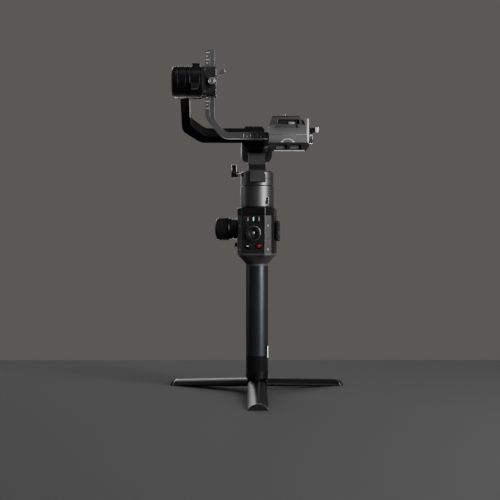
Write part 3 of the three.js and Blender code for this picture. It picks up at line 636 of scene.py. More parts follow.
rear_side = [(half_width, SPLIT), *BACK_FACETS]
rear = half_shell(rear_side, SPLIT, [0, 4, 3, 3, 3])
TRIGGER_HALF = 5
trigger_window = brick((-TRIGGER_HALF - 0.6, TRIGGER_HALF + 0.6), TRIGGER_WINDOW_Z, REAR_REACH,
                       "Y", 1.5)
handle_plastic = moulded("fine_textured_black", (0.007, 0.007, 0.0075), 0.5, texture=1800, depth=0.00005)
piece("rear_housing", cut(rear, trigger_window), "grip", handle_plastic, HANDLE, 0.4,
      ["housing_rear"])

cap_z = span("housing_cap", HANDLE)[2]
cap = cut(slab(rounded(handle_outline, 2.0), *cap_z), rod(CAP_BORE, 240, 280))
piece("top_cap", cap, "grip", gloss_black, HANDLE, 0.8, ["housing_cap"])


def socket_screw(radius, depth, place_at, axis="Y", sign=1):
    """A flat socket-head screw whose face points down the axis times the sign."""
    head = turned([(0, 0), (radius * 0.85, 0), (radius, radius * 0.15), (radius, depth), (0, depth)],
                  axis, steps=40)
    hole = rod(radius * 0.5, -1, depth * 0.6, axis, steps=6)
    screw = cut(head, hole)
    if sign < 0:
        flip = Matrix.Rotation(math.pi, 3, "X" if axis == "Z" else "Z")
        bmesh.ops.rotate(screw, verts=screw.verts, cent=(0, 0, 0), matrix=flip)
    bmesh.ops.translate(screw, verts=screw.verts, vec=place_at)
    return screw


def gathered(shapes):
    """Several separate shapes as one."""
    bm = bmesh.new()
    for shape in shapes:
        mesh = bpy.data.meshes.new("gathered")
        shape.to_mesh(mesh)
        shape.free()
        bm.from_mesh(mesh)
        bpy.data.meshes.remove(mesh)
    return bm


bevel_middle = ((PANEL_HALF + FACETS[0][0]) / 2, (panel_y + FACETS[0][1]) / 2)
bevel_turn = math.degrees(math.atan2(FACETS[0][0] - PANEL_HALF, FACETS[0][1] - panel_y))
bevel_screws = []
for side in (-1, 1):
    for height in FRONT_SCREWS_Z:
        screw = socket_screw(1.5, 1.2, (0, 0, 0))
        about(screw, side * (90 - bevel_turn))
        bmesh.ops.translate(screw, verts=screw.verts,
                            vec=(side * (bevel_middle[0] + 0.1), bevel_middle[1] - 0.1, height))
        bevel_screws.append(screw)
for side in (-1, 1):
    for height in REAR_SCREWS_Z:
        bevel_screws.append(socket_screw(1.7, 1.2, (side * REAR_SCREW_X, back_y + 0.15, height), sign=-1))
piece("housing_screws", gathered(bevel_screws), "grip", steel, HANDLE, 0.08)

# ----------------------------------------------------------------------------------------
# Controls: a rubber thumb joystick with a bright button, in a turned ring, a mode key with a
# white bar, a record key with a red centre, and three clear light pipes set into the
# panel, of which the middle one is lit green.
joystick_at = (0, 0, JOYSTICK_Z)
mode_at = (-BUTTON_X, 0, button_z)
record_at = (BUTTON_X, 0, button_z)
bezel = turned([(9, -0.7), (9.35, -1.4), (10.3, -1.5), (10.9, -0.7), (10.85, 3), (9, 3)], "Y",
               joystick_at, 128, start=panel_y)
ring_metal = metal("turned_dark_ring", (0.32, 0.32, 0.33), 0.27, 0.95, grain=1500)
piece("joystick_ring", bezel, "grip", ring_metal, HANDLE, 0.12, ["joystick_bezel"])
thumb = turned([(0, -3.0), (1.0, -3.0), (1.0, -3.4), (2.9, -3.5), (5.2, -4.3), (6.6, -5.3), (7.3, -5.75),
                (7.9, -5.6), (8.25, -4.9), (8.2, -3.5), (2.6, -2.9), (2.6, 6.2), (0, 6.2)], "Y",
               joystick_at, 128, start=panel_y)
piece("thumb_stick", thumb, "joystick_cap", rubber, HANDLE, 0.15, ["joystick_cap"])
stick_button = turned([(0, -4.3), (0.9, -4.25), (1.8, -4.05), (2.3, -3.7), (2.4, -3.3), (0, -3.3)], "Y",
                      joystick_at, 64, start=panel_y)
piece("thumb_stick_button", stick_button, "joystick_cap", bright_metal, HANDLE, 0.12)
mode = turned([(0, -1.35), (2.6, -1.25), (3.6, -0.9), (BUTTON_R, -0.3), (BUTTON_R, 4.5), (0, 4.5)], "Y",
              mode_at, 64, start=panel_y)
piece("mode_key", mode, "mode_button", gloss_black, HANDLE, 0.15, ["mode_button"])
white_fill = moulded("white_fill", (0.75, 0.75, 0.74), 0.5)
mode_mark = brick((-BUTTON_X - 1.5, -BUTTON_X + 1.5), (button_z - 0.6, button_z + 0.6),
                  (panel_y - 1.45, panel_y - 1.0), "Y", 0.5)
piece("mode_key_mark", mode_mark, "mode_button", white_fill, HANDLE, 0)
record = turned([(0, -0.4), (2.5, -0.4), (2.5, -0.95), (3.6, -0.8), (BUTTON_R, -0.3), (BUTTON_R, 4.5),
                 (0, 4.5)], "Y", record_at, 64, start=panel_y)
piece("record_key", record, "record_button", gloss_black, HANDLE, 0.15, ["record_button"])
record_dot = turned([(0, -1.5), (1.3, -1.4), (2.1, -1.05), (2.4, -0.6), (2.4, -0.3), (0, -0.3)], "Y",
                    record_at, 48, start=panel_y)
red_gloss = moulded("red_gloss", (0.42, 0.012, 0.018), 0.25, texture=900, depth=0.00001, coat=0.4)
piece("record_centre", record_dot, "record_button", red_gloss, HANDLE, 0.1)
lit_green = glowing("lit_green", (0.3, 0.95, 0.6), 0.9)
# The two side pipes are not lit; their faint glow is painted light standing for the light they catch.
side_pipe_painted_glow = glowing("side_pipe_painted_glow", (0.3, 0.36, 0.35), 0.05)
pipe_y = (panel_y - 0.15, panel_y + 3)
for label, side, finish in (("left", -1, side_pipe_painted_glow), ("middle", 0, lit_green), ("right", 1, side_pipe_painted_glow)):
    across = (side * BUTTON_X - LIGHT_HALF, side * BUTTON_X + LIGHT_HALF)
    covers = ["mode_light_guide"] if side == 0 else []
    piece(f"light_pipe_{label}", brick(across, lights_z, pipe_y, "Y", LIGHT_HALF - 0.05), "grip",
          finish, HANDLE, 0.15, covers)

# ----------------------------------------------------------------------------------------
# Trigger: a curved moulded paddle behind the handle, with fine ribs for the finger. It hangs on
# a pin at its top and swings into the window of the rear half.
trigger_pivot = HANDLE.inverted() @ Vector(joint_named["trigger_pull"]["pos_m"])
trigger_y, trigger_z = trigger_pivot.y / MM, trigger_pivot.z / MM
RIB_PITCH = 2.3
RIB_SLANT = 0.38
paddle_side = [(-2, 2.5), (6.5, 2.5), (10, -6), (11.5, -15), (14, -29), (10.5, -30.5), (7, -19), (5, -11),
               (-2, -2.5)]
PADDLE_BENDS = [2, 3, 8, 10, 1.6, 1.6, 8, 8, 2]
paddle = slab(rounded(moved(paddle_side, (trigger_y, trigger_z)), PADDLE_BENDS),
              -TRIGGER_HALF, TRIGGER_HALF, "X")
ribs = []
for step in range(6):
    height = trigger_z - 12 - RIB_PITCH * step
    ribs.append(brick((trigger_y + 10.2 + RIB_SLANT * step, trigger_y + 16), (height, height + 0.7),
                      (-TRIGGER_HALF + 1, TRIGGER_HALF - 1), "X"))
piece("trigger_paddle", cut(paddle, gathered(ribs)), "trigger", handle_plastic, HANDLE,
      0.5, ["trigger"])

# ----------------------------------------------------------------------------------------
# Accessory port: a moulded plate on the right of the handle, held by two screws, with a
# threaded bush and a row of gold contacts in a shallow recess.
port_x, port_y, port_z = span("accessory_port_plate", HANDLE)
PORT_THICK = 3.3
PORT_NECK_Z = (220, 243)
PORT_SCREW_UP = 11.6
CONTACT_PITCH = 1.6
port_middle = sum(port_z) / 2
port_face = port_x[1]
port_body = brick(port_y, port_z, (port_face - PORT_THICK, port_face), "X", 3.0)
port_body = joined(port_body, brick((-6, 6), PORT_NECK_Z, (port_x[0], port_face - 1), "X", 1))
port_body = cut(port_body, brick((-5.6, 5.6), (port_middle - 8.4, port_middle + 8.4),
                                 (port_face - 0.9, port_face + 1), "X", 1.5))
piece("port_plate", port_body, "grip", handle_plastic, HANDLE, 0.35,
      ["accessory_port_plate"])
bush = turned([(1.7, -1.6), (3.2, -1.6), (3.2, -0.3), (2.9, -0.1), (1.7, -0.1)], "X",
              (0, 0, port_middle - 3), 48, start=port_face)
port_screws = [turned([(0, -1), (1.6, -1), (1.6, -0.1), (1.3, 0.15), (0.7, 0.15), (0.7, -0.4), (0, -0.4)],
                      "X", (0, 0, port_middle + side * PORT_SCREW_UP), 40, start=port_face)
               for side in (-1, 1)]
piece("port_screws", gathered([bush, *port_screws]), "grip", steel, HANDLE, 0.08)
gold = metal("gold_contacts", (0.75, 0.5, 0.18), 0.25, 1.0)
contacts = [turned([(0, -1.2), (0.55, -1.2), (0.55, -0.5), (0.3, -0.35), (0, -0.35)], "X",
                   (0, CONTACT_PITCH * k - 4, port_middle + 5), 16, start=port_face) for k in range(6)]
piece("port_contacts", gathered(contacts), "grip", gold, HANDLE, 0)

# ----------------------------------------------------------------------------------------
# Focus wheel: a turned aluminium base on the left of the handle, and a wheel with a fluted
# rubber band between two bevelled rims. Its latch is a ribbed slider under the base.
focus_at = (0, 0, joint_named["focus_spin"]["pos_m"][2] / MM)
base_x = span("focus_wheel_base", HANDLE)[0]
base = turned([(3.4, base_x[0]), (14.2, base_x[0]), (14.85, base_x[0] + 0.7), (14.85, base_x[0] + 3),
               (14.4, base_x[0] + 3.2), (14.4, base_x[0] + 3.6), (14.85, base_x[0] + 3.8),
               (14.85, base_x[1]), (3.4, base_x[1])], "X", focus_at, 128)
piece("wheel_base", base, "grip", satin_black, HANDLE, 0.15, ["focus_wheel_base"])
wheel_x = span("focus_wheel", HANDLE)[0]
outer = wheel_x[0]
wheel = turned([(0, outer + 0.9), (8.2, outer + 0.9), (9.0, outer), (14.6, outer), (15.9, outer + 1.4),
                (15.9, outer + 3.2), (15.1, outer + 3.4), (15.1, outer + 18.2), (15.9, outer + 18.4),
                (15.9, outer + 20.2), (15.0, outer + 21.6), (3, outer + 21.6), (3, wheel_x[1]),
                (0, wheel_x[1])], "X", focus_at, 128)
piece("wheel_rims", wheel, "focus_wheel", black_metal, HANDLE, 0.2, ["focus_wheel"])


def fluted(radius, depth, count, low, high, axis, at, bore):
    """A ring with even flutes round its rim."""
    rim = []
    for k in range(count):
        for part_turn, r in ((0.0, radius - depth), (0.25, radius), (0.65, radius), (0.9, radius - depth)):
            angle = math.tau * (k + part_turn) / count
            rim.append((r * math.cos(angle), r * math.sin(angle)))
    ring = slab(rim, low, high, axis)
    bmesh.ops.translate(ring, verts=ring.verts, vec=at)
    return cut(ring, rod(bore, low - 1, high + 1, axis, at))


grip_band = fluted(16.0, 0.55, 60, outer + 3.6, outer + 18.0, "X", focus_at, 14.9)
piece("wheel_grip_band", grip_band, "focus_wheel", rubber, HANDLE, 0)
latch_x, latch_y, latch_z = span("focus_latch", HANDLE)
LATCH_PITCH = 1.6
latch = brick(latch_y, latch_z, latch_x, "X", 1.2)
ridges = [brick((latch_y[0] + 1.6 + LATCH_PITCH * k, latch_y[0] + 2.1 + LATCH_PITCH * k),
                (latch_z[0] + 0.8, latch_z[1] - 0.8), (latch_x[0] - 1, latch_x[0] + 0.5), "X")
          for k in range(4)]
piece("wheel_latch", cut(latch, gathered(ridges)), "focus_latch", handle_plastic, HANDLE,
      0.25, ["focus_latch"])

# ----------------------------------------------------------------------------------------
# Pan motor: a turned aluminium can bolted to the cap, with a lock slider in an upright slot.
# Its rotor closes it from above and carries the channel in which the pan arm slides.
can_x, _, can_z = span("pan_stator")
can_r = can_x[1]
CAN_WALL = 2.05
can = turned([(9, can_z[0]), (22.8, can_z[0]), (can_r - 0.25, can_z[0] + 1.5), (can_r, can_z[0] + 2.1),
              (can_r, can_z[1] - 0.7), (can_r - 0.5, can_z[1]), (can_r - CAN_WALL, can_z[1]),
              (can_r - CAN_WALL, can_z[0] + 4), (9, can_z[0] + 4)], steps=160)
lock_x, lock_y, lock_z = span("pan_lock")
lock_turn = math.degrees(math.atan2(sum(lock_y), sum(lock_x)))
SLOT_HALF = 2.6
SLOT_BORDER = 0.7
slot_z = (can_z[0] + 4.8, can_z[0] + 14.6)
slot_outline = rectangle((-SLOT_HALF, SLOT_HALF), slot_z, SLOT_HALF)
border_outline = rectangle((-SLOT_HALF - SLOT_BORDER, SLOT_HALF + SLOT_BORDER),
                           (slot_z[0] - SLOT_BORDER, slot_z[1] + SLOT_BORDER), SLOT_HALF + 0.6)
can = cut(can, about(slab(border_outline, can_r - 0.35, can_r + 3, "X"), lock_turn),
          about(slab(slot_outline, 20, 28, "X"), lock_turn))
motor_black = metal("motor_black_anodised", (0.024, 0.024, 0.026), 0.32, 0.93, grain=2400, worn_and_glint=0.2)
graphite = metal("graphite_anodised", (0.11, 0.11, 0.112), 0.4, 0.9, grain=2400)
piece("pan_can", can, "grip", graphite, edge=0.15, stands_for=["pan_stator"])
slot_trim = about(cut(slab(border_outline, can_r - 0.35, can_r + 0.05, "X"),
                      slab(slot_outline, can_r - 2, can_r + 2, "X")), lock_turn)
piece("pan_slot_trim", slot_trim, "grip", ring_metal, edge=0.1)
SLIDER_HALF = 2.2
NOTCH_PITCH = 1.1
slider = brick((-SLIDER_HALF, SLIDER_HALF), lock_z, (can_r - 1.65, can_r + 0.9), "X", 1.6)
notches = [brick((-SLIDER_HALF - 1, SLIDER_HALF + 1),
                 (lock_z[0] + 1.0 + NOTCH_PITCH * k, lock_z[0] + 1.4 + NOTCH_PITCH * k),
                 (can_r + 0.5, can_r + 3), "X") for k in range(3)]
slider = about(cut(slider, gathered(notches)), lock_turn)
piece("pan_lock_slider", slider, "pan_lock", handle_plastic, edge=0.2,
      stands_for=["pan_lock"])

rotor_z = span("pan_rotor")[2]
ROTOR_R = 23.85
rotor_low = can_z[1] + SEAT
_, bar_y, bar_z = span("pan_arm")
BAR_X = (-10, 12)
BAR_TOP = 316.5
SHOULDER = 5.5
TAPER = 2.5


def bar_section(spare, top):
    """The dovetail section of the pan arm, grown by a clearance."""
    left, right, low = BAR_X[0] - spare, BAR_X[1] + spare, bar_z[0] - spare
    return [(left, low), (right, low), (right, BAR_TOP - SHOULDER), (right - TAPER, BAR_TOP),
            (right - TAPER, top), (left + TAPER, top), (left + TAPER, BAR_TOP),
            (left, BAR_TOP - SHOULDER)]


rotor = turned([(0, rotor_z[0]), (4.6, rotor_z[0]), (4.6, rotor_low), (ROTOR_R - 0.4, rotor_low),
                (ROTOR_R, rotor_low + 0.5), (ROTOR_R, rotor_low + 9.7), (ROTOR_R - 0.45, rotor_low + 9.9),
                (ROTOR_R - 0.45, rotor_low + 10.3), (ROTOR_R, rotor_low + 10.5),
                (ROTOR_R, rotor_z[1] - 1.7), (ROTOR_R - 1.6, rotor_z[1]), (0, rotor_z[1])], steps=160)
channel = slab(rounded(bar_section(SEAT, rotor_z[1] + 5), [1.4, 1.4, 1, 1, 0, 0, 1, 1]), -40, 40, "Y")
pan_lever_at = Vector(joint_named["pan_lever_turn"]["pos_m"]) / MM
pan_lever_centre = (0, pan_lever_at.y, pan_lever_at.z)
pan_lever_bore = rod(2.5, -32, -11, "X", pan_lever_centre, 40)
piece("pan_rotor_cap", cut(rotor, channel, pan_lever_bore), "pan_rotor", graphite,
      edge=0.3, stands_for=["pan_rotor"])
ROTOR_SCREWS = ((-16, 9), (-16, -15), (17.5, 9), (17.5, -9))
rotor_screws = [socket_screw(1.5, 1.0, (x, y, rotor_z[1] + 0.12), "Z", -1) for x, y in ROTOR_SCREWS]
piece("pan_rotor_screws", gathered(rotor_screws), "pan_rotor", steel, edge=0.06)

# ----------------------------------------------------------------------------------------
# Pan arm lever: a turned hub on a steel stem that is screwed into the rotor, with a flat paddle
# between two bright cheeks. Turning it clamps the pan arm in its channel.
lever_x = span("pan_arm_lever")[0]
hub_face = lever_x[0]
HUB_R = 5.2
lever_hub = turned([(0, 0.6), (2.2, 0.6), (2.6, 0), (HUB_R - 0.5, 0), (HUB_R, 0.5), (HUB_R, 6.8),
                    (HUB_R - 0.9, 7.6), (3.4, 10.5), (0, 10.5)], "X", pan_lever_centre, 64, start=hub_face)
paddle_outline = rounded([(-3.2, -1), (3.2, -1), (2.4, 14), (-2.4, 14)], [0, 0, 2.2, 2.2])
lever_paddle = slab(moved(paddle_outline, pan_lever_at.yz), hub_face + 0.8, hub_face + 7, "X")
piece("pan_lever", joined(lever_hub, lever_paddle), "pan_arm_lever", black_metal, edge=0.5,
      stands_for=["pan_arm_lever"])
stem = rod(2.2, -27.5, lever_x[1], "X", pan_lever_centre, 40)
silver = metal("bright_satin_aluminium", (0.55, 0.55, 0.57), 0.3, 1.0, grain=2600)
tip = turned([(0, -0.1), (1.7, -0.1), (2.0, 0.2), (2.0, 0.9), (0, 0.9)], "X", pan_lever_centre, 40,
             start=hub_face)
paddle_edge = slab(moved(rectangle((-2.3, 2.3), (12.6, 14.2), 0.7), pan_lever_at.yz),
                   hub_face + 0.6, hub_face + 7.2, "X")
cheek_outline = rounded([(-3.6, 2.4), (3.6, 2.4), (2.8, 14.4), (-2.8, 14.4)], [0, 0, 2.2, 2.2])
cheeks = [slab(moved(cheek_outline, pan_lever_at.yz), x, x + 0.7, "X")
          for x in (hub_face + 0.3, hub_face + 6.8)]
piece("pan_lever_stem", gathered([stem, tip, paddle_edge, *cheeks]), "pan_arm_lever", silver,
      edge=0.15)

# ----------------------------------------------------------------------------------------
# Pan arm: a forged and machined aluminium bar that slides in the rotor, with a bevelled rise
# at its back end that is bored across to hold the roll motor.
roll_axis = Vector(joint_named["roll"]["axis"])
roll_centre = Vector(joint_named["roll"]["pos_m"])
roll_lean = math.atan2(-roll_axis.y, roll_axis.z)
ROLL = Matrix.Translation(roll_centre) @ Matrix.Rotation(roll_lean, 4, "X")
roll_x, _, roll_z = span("roll_stator", ROLL)
roll_r = roll_x[1]
RISE_HALF = 12.85
RISE_BEVEL = 2.6
CHANNEL_CLEAR = 0.5
bar = slab(rounded(bar_section(0, BAR_TOP + 1.6), [1.2, 1.2, 1.5, 1, 0, 0, 1, 1.5]), *bar_y, "Y")
front_trim = brick((bar_y[0] - 1, 10), (BAR_TOP, BAR_TOP + 10), (-30, 30), "X")
rise_low = rotor_z[1] + CHANNEL_CLEAR
rise = slab(rounded([(10, rise_low), (40.5, rise_low), (43, bar_z[0] + 4), (56, bar_z[0] + 7), (80, 326),
                     (80, 340), (52, 352), (46, 347), (30, 331), (13, 322)],
                    [1, 0.5, 3, 6, 4, 4, 4, 3, 8, 3]), -RISE_HALF, RISE_HALF, "X")
level_edges = [edge for edge in rise.edges if abs(edge.verts[0].co.x - edge.verts[1].co.x) < 0.01]
bmesh.ops.bevel(rise, geom=level_edges, offset=RISE_BEVEL, offset_type="OFFSET", affect="EDGES", segments=1,
                profile=0.5, material=-1, clamp_overlap=True)
motor_room = rod(roll_r + SEAT, roll_z[0] - SEAT, 0, steps=160)
roll_in_mm = Matrix.Translation(roll_centre / MM) @ Matrix.Rotation(roll_lean, 4, "X")
bmesh.ops.transform(motor_room, matrix=roll_in_mm, verts=motor_room.verts)
arm = cut(joined(cut(bar, front_trim), rise), motor_room)
piece("pan_arm_forging", arm, "pan_arm", graphite, edge=0.6, stands_for=["pan_arm"])

# ----------------------------------------------------------------------------------------
# Roll motor: a black anodised can with a domed back, held by the pan arm. Its rotor faces
# forward and carries a two-jaw clamp for the roll arm, drawn tight by a knurled screw.
back = roll_z[0]
DOME_STEPS = 8
DOME_FLAT = 14
DOME_RISE = 11
dome = [(0, back + 0.5), (9.5, back + 0.5), (10.2, back), (DOME_FLAT, back)]
for step in range(1, DOME_STEPS + 1):
    angle = math.pi / 2 * step / DOME_STEPS
    dome.append((DOME_FLAT + (roll_r - DOME_FLAT) * math.sin(angle),
                 back + DOME_RISE * (1 - math.cos(angle))))
roll_can = turned(dome + [(roll_r, -123.4), (roll_r - 0.4, -123.2), (roll_r - 0.4, -122.8),
                          (roll_r, -122.6), (roll_r, roll_z[1] - 0.5), (roll_r - 0.5, roll_z[1]),
                          (21.8, roll_z[1]), (21.8, back + 7), (0, back + 5)], steps=160)
piece("roll_can", roll_can, "pan_arm", motor_black, ROLL, 0.15, ["roll_stator"])
ROTOR_FRONT = -99.2
JAW_FRONT = -84.5
ROLL_ROTOR_R = 23.7
ARM_HALF = 11
ARM_BACK, ARM_FRONT = -97, -85
seam = roll_z[1] + SEAT
JAW_X = (-18, 9)
disc = turned([(0, back + 8), (5, back + 8), (5, seam), (ROLL_ROTOR_R - 0.5, seam),
               (ROLL_ROTOR_R, seam + 0.5), (ROLL_ROTOR_R, ROTOR_FRONT - 1.7),
               (ROLL_ROTOR_R - 1.5, ROTOR_FRONT), (0, ROTOR_FRONT)], steps=160)
near, half = ARM_BACK - SEAT, ARM_HALF + SEAT
jaws = slab(rounded([(-14.5, ROTOR_FRONT - 1), (16.5, ROTOR_FRONT - 1), (16.5, JAW_FRONT),
                     (half, JAW_FRONT), (half, near), (-half, near), (-half, -90), (-14.5, -90)],
                    [0, 0, 1.6, 0.8, 0.8, 0.8, 0.8, 1.6]), *JAW_X, "X")
knob_at = (ROLL.inverted() @ Vector(joint_named["roll_knob_turn"]["pos_m"])) / MM
knob_bore = rod(2.1, ARM_HALF, 22, "Y", (knob_at.x, 0, knob_at.z), 40)
piece("roll_clamp", cut(joined(disc, jaws), knob_bore), "roll_rotor", black_metal, ROLL,
      0.5, ["roll_rotor"])
knob_y = span("roll_arm_knob", ROLL)[1]
knob_head = turned([(0, knob_y[1] - 1.4), (2.0, knob_y[1] - 1.4), (2.0, knob_y[1]), (3.7, knob_y[1]),
                    (4.2, knob_y[1] - 0.5), (4.2, knob_y[1] - 4), (1.8, knob_y[1] - 4), (1.8, knob_y[0]),
                    (0, knob_y[0])], "Y", (knob_at.x, 0, knob_at.z), 64)
piece("roll_clamp_screw", knob_head, "roll_arm_knob", silver, ROLL, 0.15, ["roll_arm_knob"])

# ----------------------------------------------------------------------------------------
# Roll arm: one machined aluminium L, anodised black. Its level leg slides in the roll clamp and
# its upright leg ends in a ring, bored for the tilt motor.
arm_x = span("roll_arm", ROLL)[0]
RING_BORE = 19.5
LEG_OUTER, LEG_INNER = -111.7, -99.3
bend = rounded([(LEG_OUTER, 0), (LEG_OUTER, -76), (-84, ARM_BACK), (arm_x[1], ARM_BACK),
                (arm_x[1], ARM_FRONT), (-78, ARM_FRONT), (LEG_INNER, -66), (LEG_INNER, 0)],
               [0, 16, 20, 2, 2, 16, 12, 0], 10)
tilt_centre = Vector(joint_named["tilt"]["pos_m"]) / MM
tilt_r = span("tilt_stator")[1][1]
cap_x = span("tilt_end_cap")[0]
barrel_x = span("tilt_stator")[0]
ring_x = (arm_x[0], barrel_x[0] - SEAT)
arm_leg = slab(bend, -ARM_HALF, ARM_HALF, "Y")
arm_leg = cut(arm_leg, rod(tilt_r + SEAT, ring_x[1], -70, "X", steps=160))
ring = turned([(0, ring_x[0]), (tilt_r - 0.4, ring_x[0]), (tilt_r, ring_x[0] + 0.4),
               (tilt_r, ring_x[1] - 0.4), (tilt_r - 0.4, ring_x[1]), (0, ring_x[1])], "X", steps=160)
bore = rod(RING_BORE, -130, -90, "X", steps=96)
piece("roll_arm_forging", cut(joined(arm_leg, ring), bore), "roll_arm", black_metal, ROLL,
      1.1, ["roll_arm"])

# ----------------------------------------------------------------------------------------
# Tilt motor: an end cap and a barrel on either side of the arm's ring, with a cable socket on
# top, a lock tab at the front, and a rotor whose block clamps the camera rail.
tilt_at = (0, tilt_centre.y, tilt_centre.z)
end_cap = turned([(0, cap_x[0] + 0.7), (15.6, cap_x[0] + 0.7), (16.2, cap_x[0]), (20.6, cap_x[0]),
                  (tilt_r - 0.6, cap_x[0] + 2.2), (tilt_r, cap_x[0] + 3.4), (tilt_r, cap_x[0] + 9.0),
                  (tilt_r - 0.4, ring_x[0] - SEAT), (19, ring_x[0] - SEAT), (19, ring_x[0] + 4),
                  (0, ring_x[0] + 4)], "X", tilt_at, 160)
piece("tilt_cap", end_cap, "roll_arm", motor_black, edge=0.2, stands_for=["tilt_end_cap"])
SCREW_CIRCLE = 12
cap_screws = []
for k in range(4):
    angle = math.radians(45 + 90 * k)
    screw_at = (cap_x[0] + 0.55, tilt_at[1] + SCREW_CIRCLE * math.cos(angle),
                tilt_at[2] + SCREW_CIRCLE * math.sin(angle))
    cap_screws.append(socket_screw(1.4, 1.0, screw_at, "X"))
piece("tilt_cap_screws", gathered(cap_screws), "roll_arm", steel, edge=0.06)

barrel_left, clamp_right = barrel_x[0], span("tilt_rotor")[0][1]
BARREL_END = -81.3
barrel = turned([(6, barrel_left), (tilt_r - 0.4, barrel_left), (tilt_r, barrel_left + 0.4),
                 (tilt_r, barrel_left + 5.2), (tilt_r - 0.45, barrel_left + 5.4),
                 (tilt_r - 0.45, barrel_left + 5.8), (tilt_r, barrel_left + 6.0),
                 (tilt_r, BARREL_END - 0.5), (tilt_r - 0.5, BARREL_END), (21.2, BARREL_END),
                 (21.2, barrel_left + 3), (6, barrel_left + 3)], "X", tilt_at, 160)
top_z = span("tilt_stator")[2][1]
BUMP_X = (-93.5, -82.5)
bump = slab(rounded([(-6.5, tilt_at[2] + 21), (6.5, tilt_at[2] + 21), (4.6, top_z), (-4.6, top_z)],
                    [0, 0, 2.2, 2.2]), *BUMP_X, "X")
bump = cut(bump, rod(21.25, barrel_left, -70, "X", tilt_at, 160))
piece("tilt_barrel", joined(barrel, bump), "roll_arm", motor_black, edge=0.3,
      stands_for=["tilt_stator"])

tab_x, tab_y, tab_z = span("tilt_lock")
TAB_PITCH = 1.8
tab = brick(tab_x, tab_z, tab_y, "Y", 1.4)
tab_ridges = [brick((tab_x[0] + 2.4 + TAB_PITCH * k, tab_x[0] + 3.0 + TAB_PITCH * k),
                    (tab_z[0] + 1.2, tab_z[1] - 1.2), (tab_y[0] - 1, tab_y[0] + 0.45), "Y")
              for k in range(4)]
tab = cut(tab, rod(tilt_r + SEAT, -99, -75, "X", tilt_at, 160), gathered(tab_ridges))
piece("tilt_lock_tab", tab, "tilt_lock", handle_plastic, edge=0.35,
      stands_for=["tilt_lock"])

UPRIGHT_X = (-74.3, -61.5)
CLAMP_Y, CLAMP_Z = (-15, 12), (426, 468)
rail_y = span("camera_rail")[1]
rotor_left = BARREL_END + SEAT
tilt_disc = turned([(0, barrel_left + 4), (5, barrel_left + 4), (5, rotor_left), (22.6, rotor_left),
                    (23.2, rotor_left + 0.6), (23.2, rotor_left + 2.0), (22.7, rotor_left + 2.5),
                    (0, rotor_left + 2.5)], "X", tilt_at, 160)
clamp = slab(rounded([(CLAMP_Y[0], CLAMP_Z[0]), (CLAMP_Y[1], CLAMP_Z[0]), (CLAMP_Y[1], CLAMP_Z[1]),
                      (CLAMP_Y[0], CLAMP_Z[1])], 3), rotor_left + 1, clamp_right, "X")
rail_room = brick((UPRIGHT_X[0] - SEAT, UPRIGHT_X[1] + SEAT), (rail_y[0] - SEAT, rail_y[1] + SEAT),
                  (400, 500))
clamp_at = Vector(joint_named["tilt_lever_turn"]["pos_m"]) / MM
clamp_centre = (clamp_at.x, 0, clamp_at.z)
clamp_bore = rod(2.3, -20, -4, "Y", clamp_centre, 40)
clamp_seat = rod(6.2, -20, CLAMP_Y[0] + 0.4, "Y", clamp_centre, 64)
clamp_body = cut(joined(tilt_disc, clamp), rail_room, clamp_bore, clamp_seat)
piece("tilt_clamp", clamp_body, "tilt_rotor", black_metal, edge=0.7,
      stands_for=["tilt_rotor"])
clamp_screws = [socket_screw(1.5, 0.9, (clamp_at.x - 9.5, CLAMP_Y[0] - 0.12, z))
                for z in (CLAMP_Z[0] + 5, CLAMP_Z[1] - 5)]
piece("tilt_clamp_screws", gathered(clamp_screws), "tilt_rotor", steel, edge=0.06)

# ----------------------------------------------------------------------------------------
# Rail clamp lever: a bright turned disc with a hex socket, screwed into the clamp block, and a
# cast arm with a darker grip at its end. It holds the camera rail at its height.
clamp_lever_y = span("tilt_clamp_lever")[1]
lever_face = clamp_lever_y[0]
lever_disc = turned([(0, lever_face), (4.7, lever_face), (5.5, lever_face + 0.8), (5.5, lever_face + 3.6),
                     (4.9, lever_face + 4.2), (2.0, lever_face + 4.2), (2.0, clamp_lever_y[1]),
                     (0, clamp_lever_y[1])], "Y", clamp_centre, 96)
hexagon = rod(2.1, lever_face - 1, lever_face + 2, "Y", clamp_centre, 6)
ring_cut = turned([(3.3, -1), (3.7, -1), (3.7, 0.3), (3.3, 0.3)], "Y", clamp_centre, 96, start=lever_face)
piece("clamp_lever_disc", cut(lever_disc, hexagon, ring_cut), "tilt_clamp_lever", silver,
      edge=0.15, stands_for=["tilt_clamp_lever"])
LEVER_RISE = 40
arm_outline = rounded([(4.9, -2.0), (16, -1.5), (16, 1.5), (4.9, 2.0)], [0.4, 1, 1, 0.4])
lever_arm = slab(moved(arm_outline, clamp_at.xz), lever_face + 0.7, lever_face + 3.6, "Y")
piece("clamp_lever_arm", about(lever_arm, -LEVER_RISE, "Y", clamp_at), "tilt_clamp_lever",
      silver, edge=0.3)
end_outline = rounded([(15.5, -2.6), (23.4, -2.9), (24.8, 0), (23.4, 2.9), (15.5, 2.6)],
                      [0.8, 1.2, 1.5, 1.2, 0.8])
lever_end = slab(moved(end_outline, clamp_at.xz), lever_face + 0.2, lever_face + 3.9, "Y")
piece("clamp_lever_tip", about(lever_end, -LEVER_RISE, "Y", clamp_at), "tilt_clamp_lever",
      ring_metal, edge=0.35)

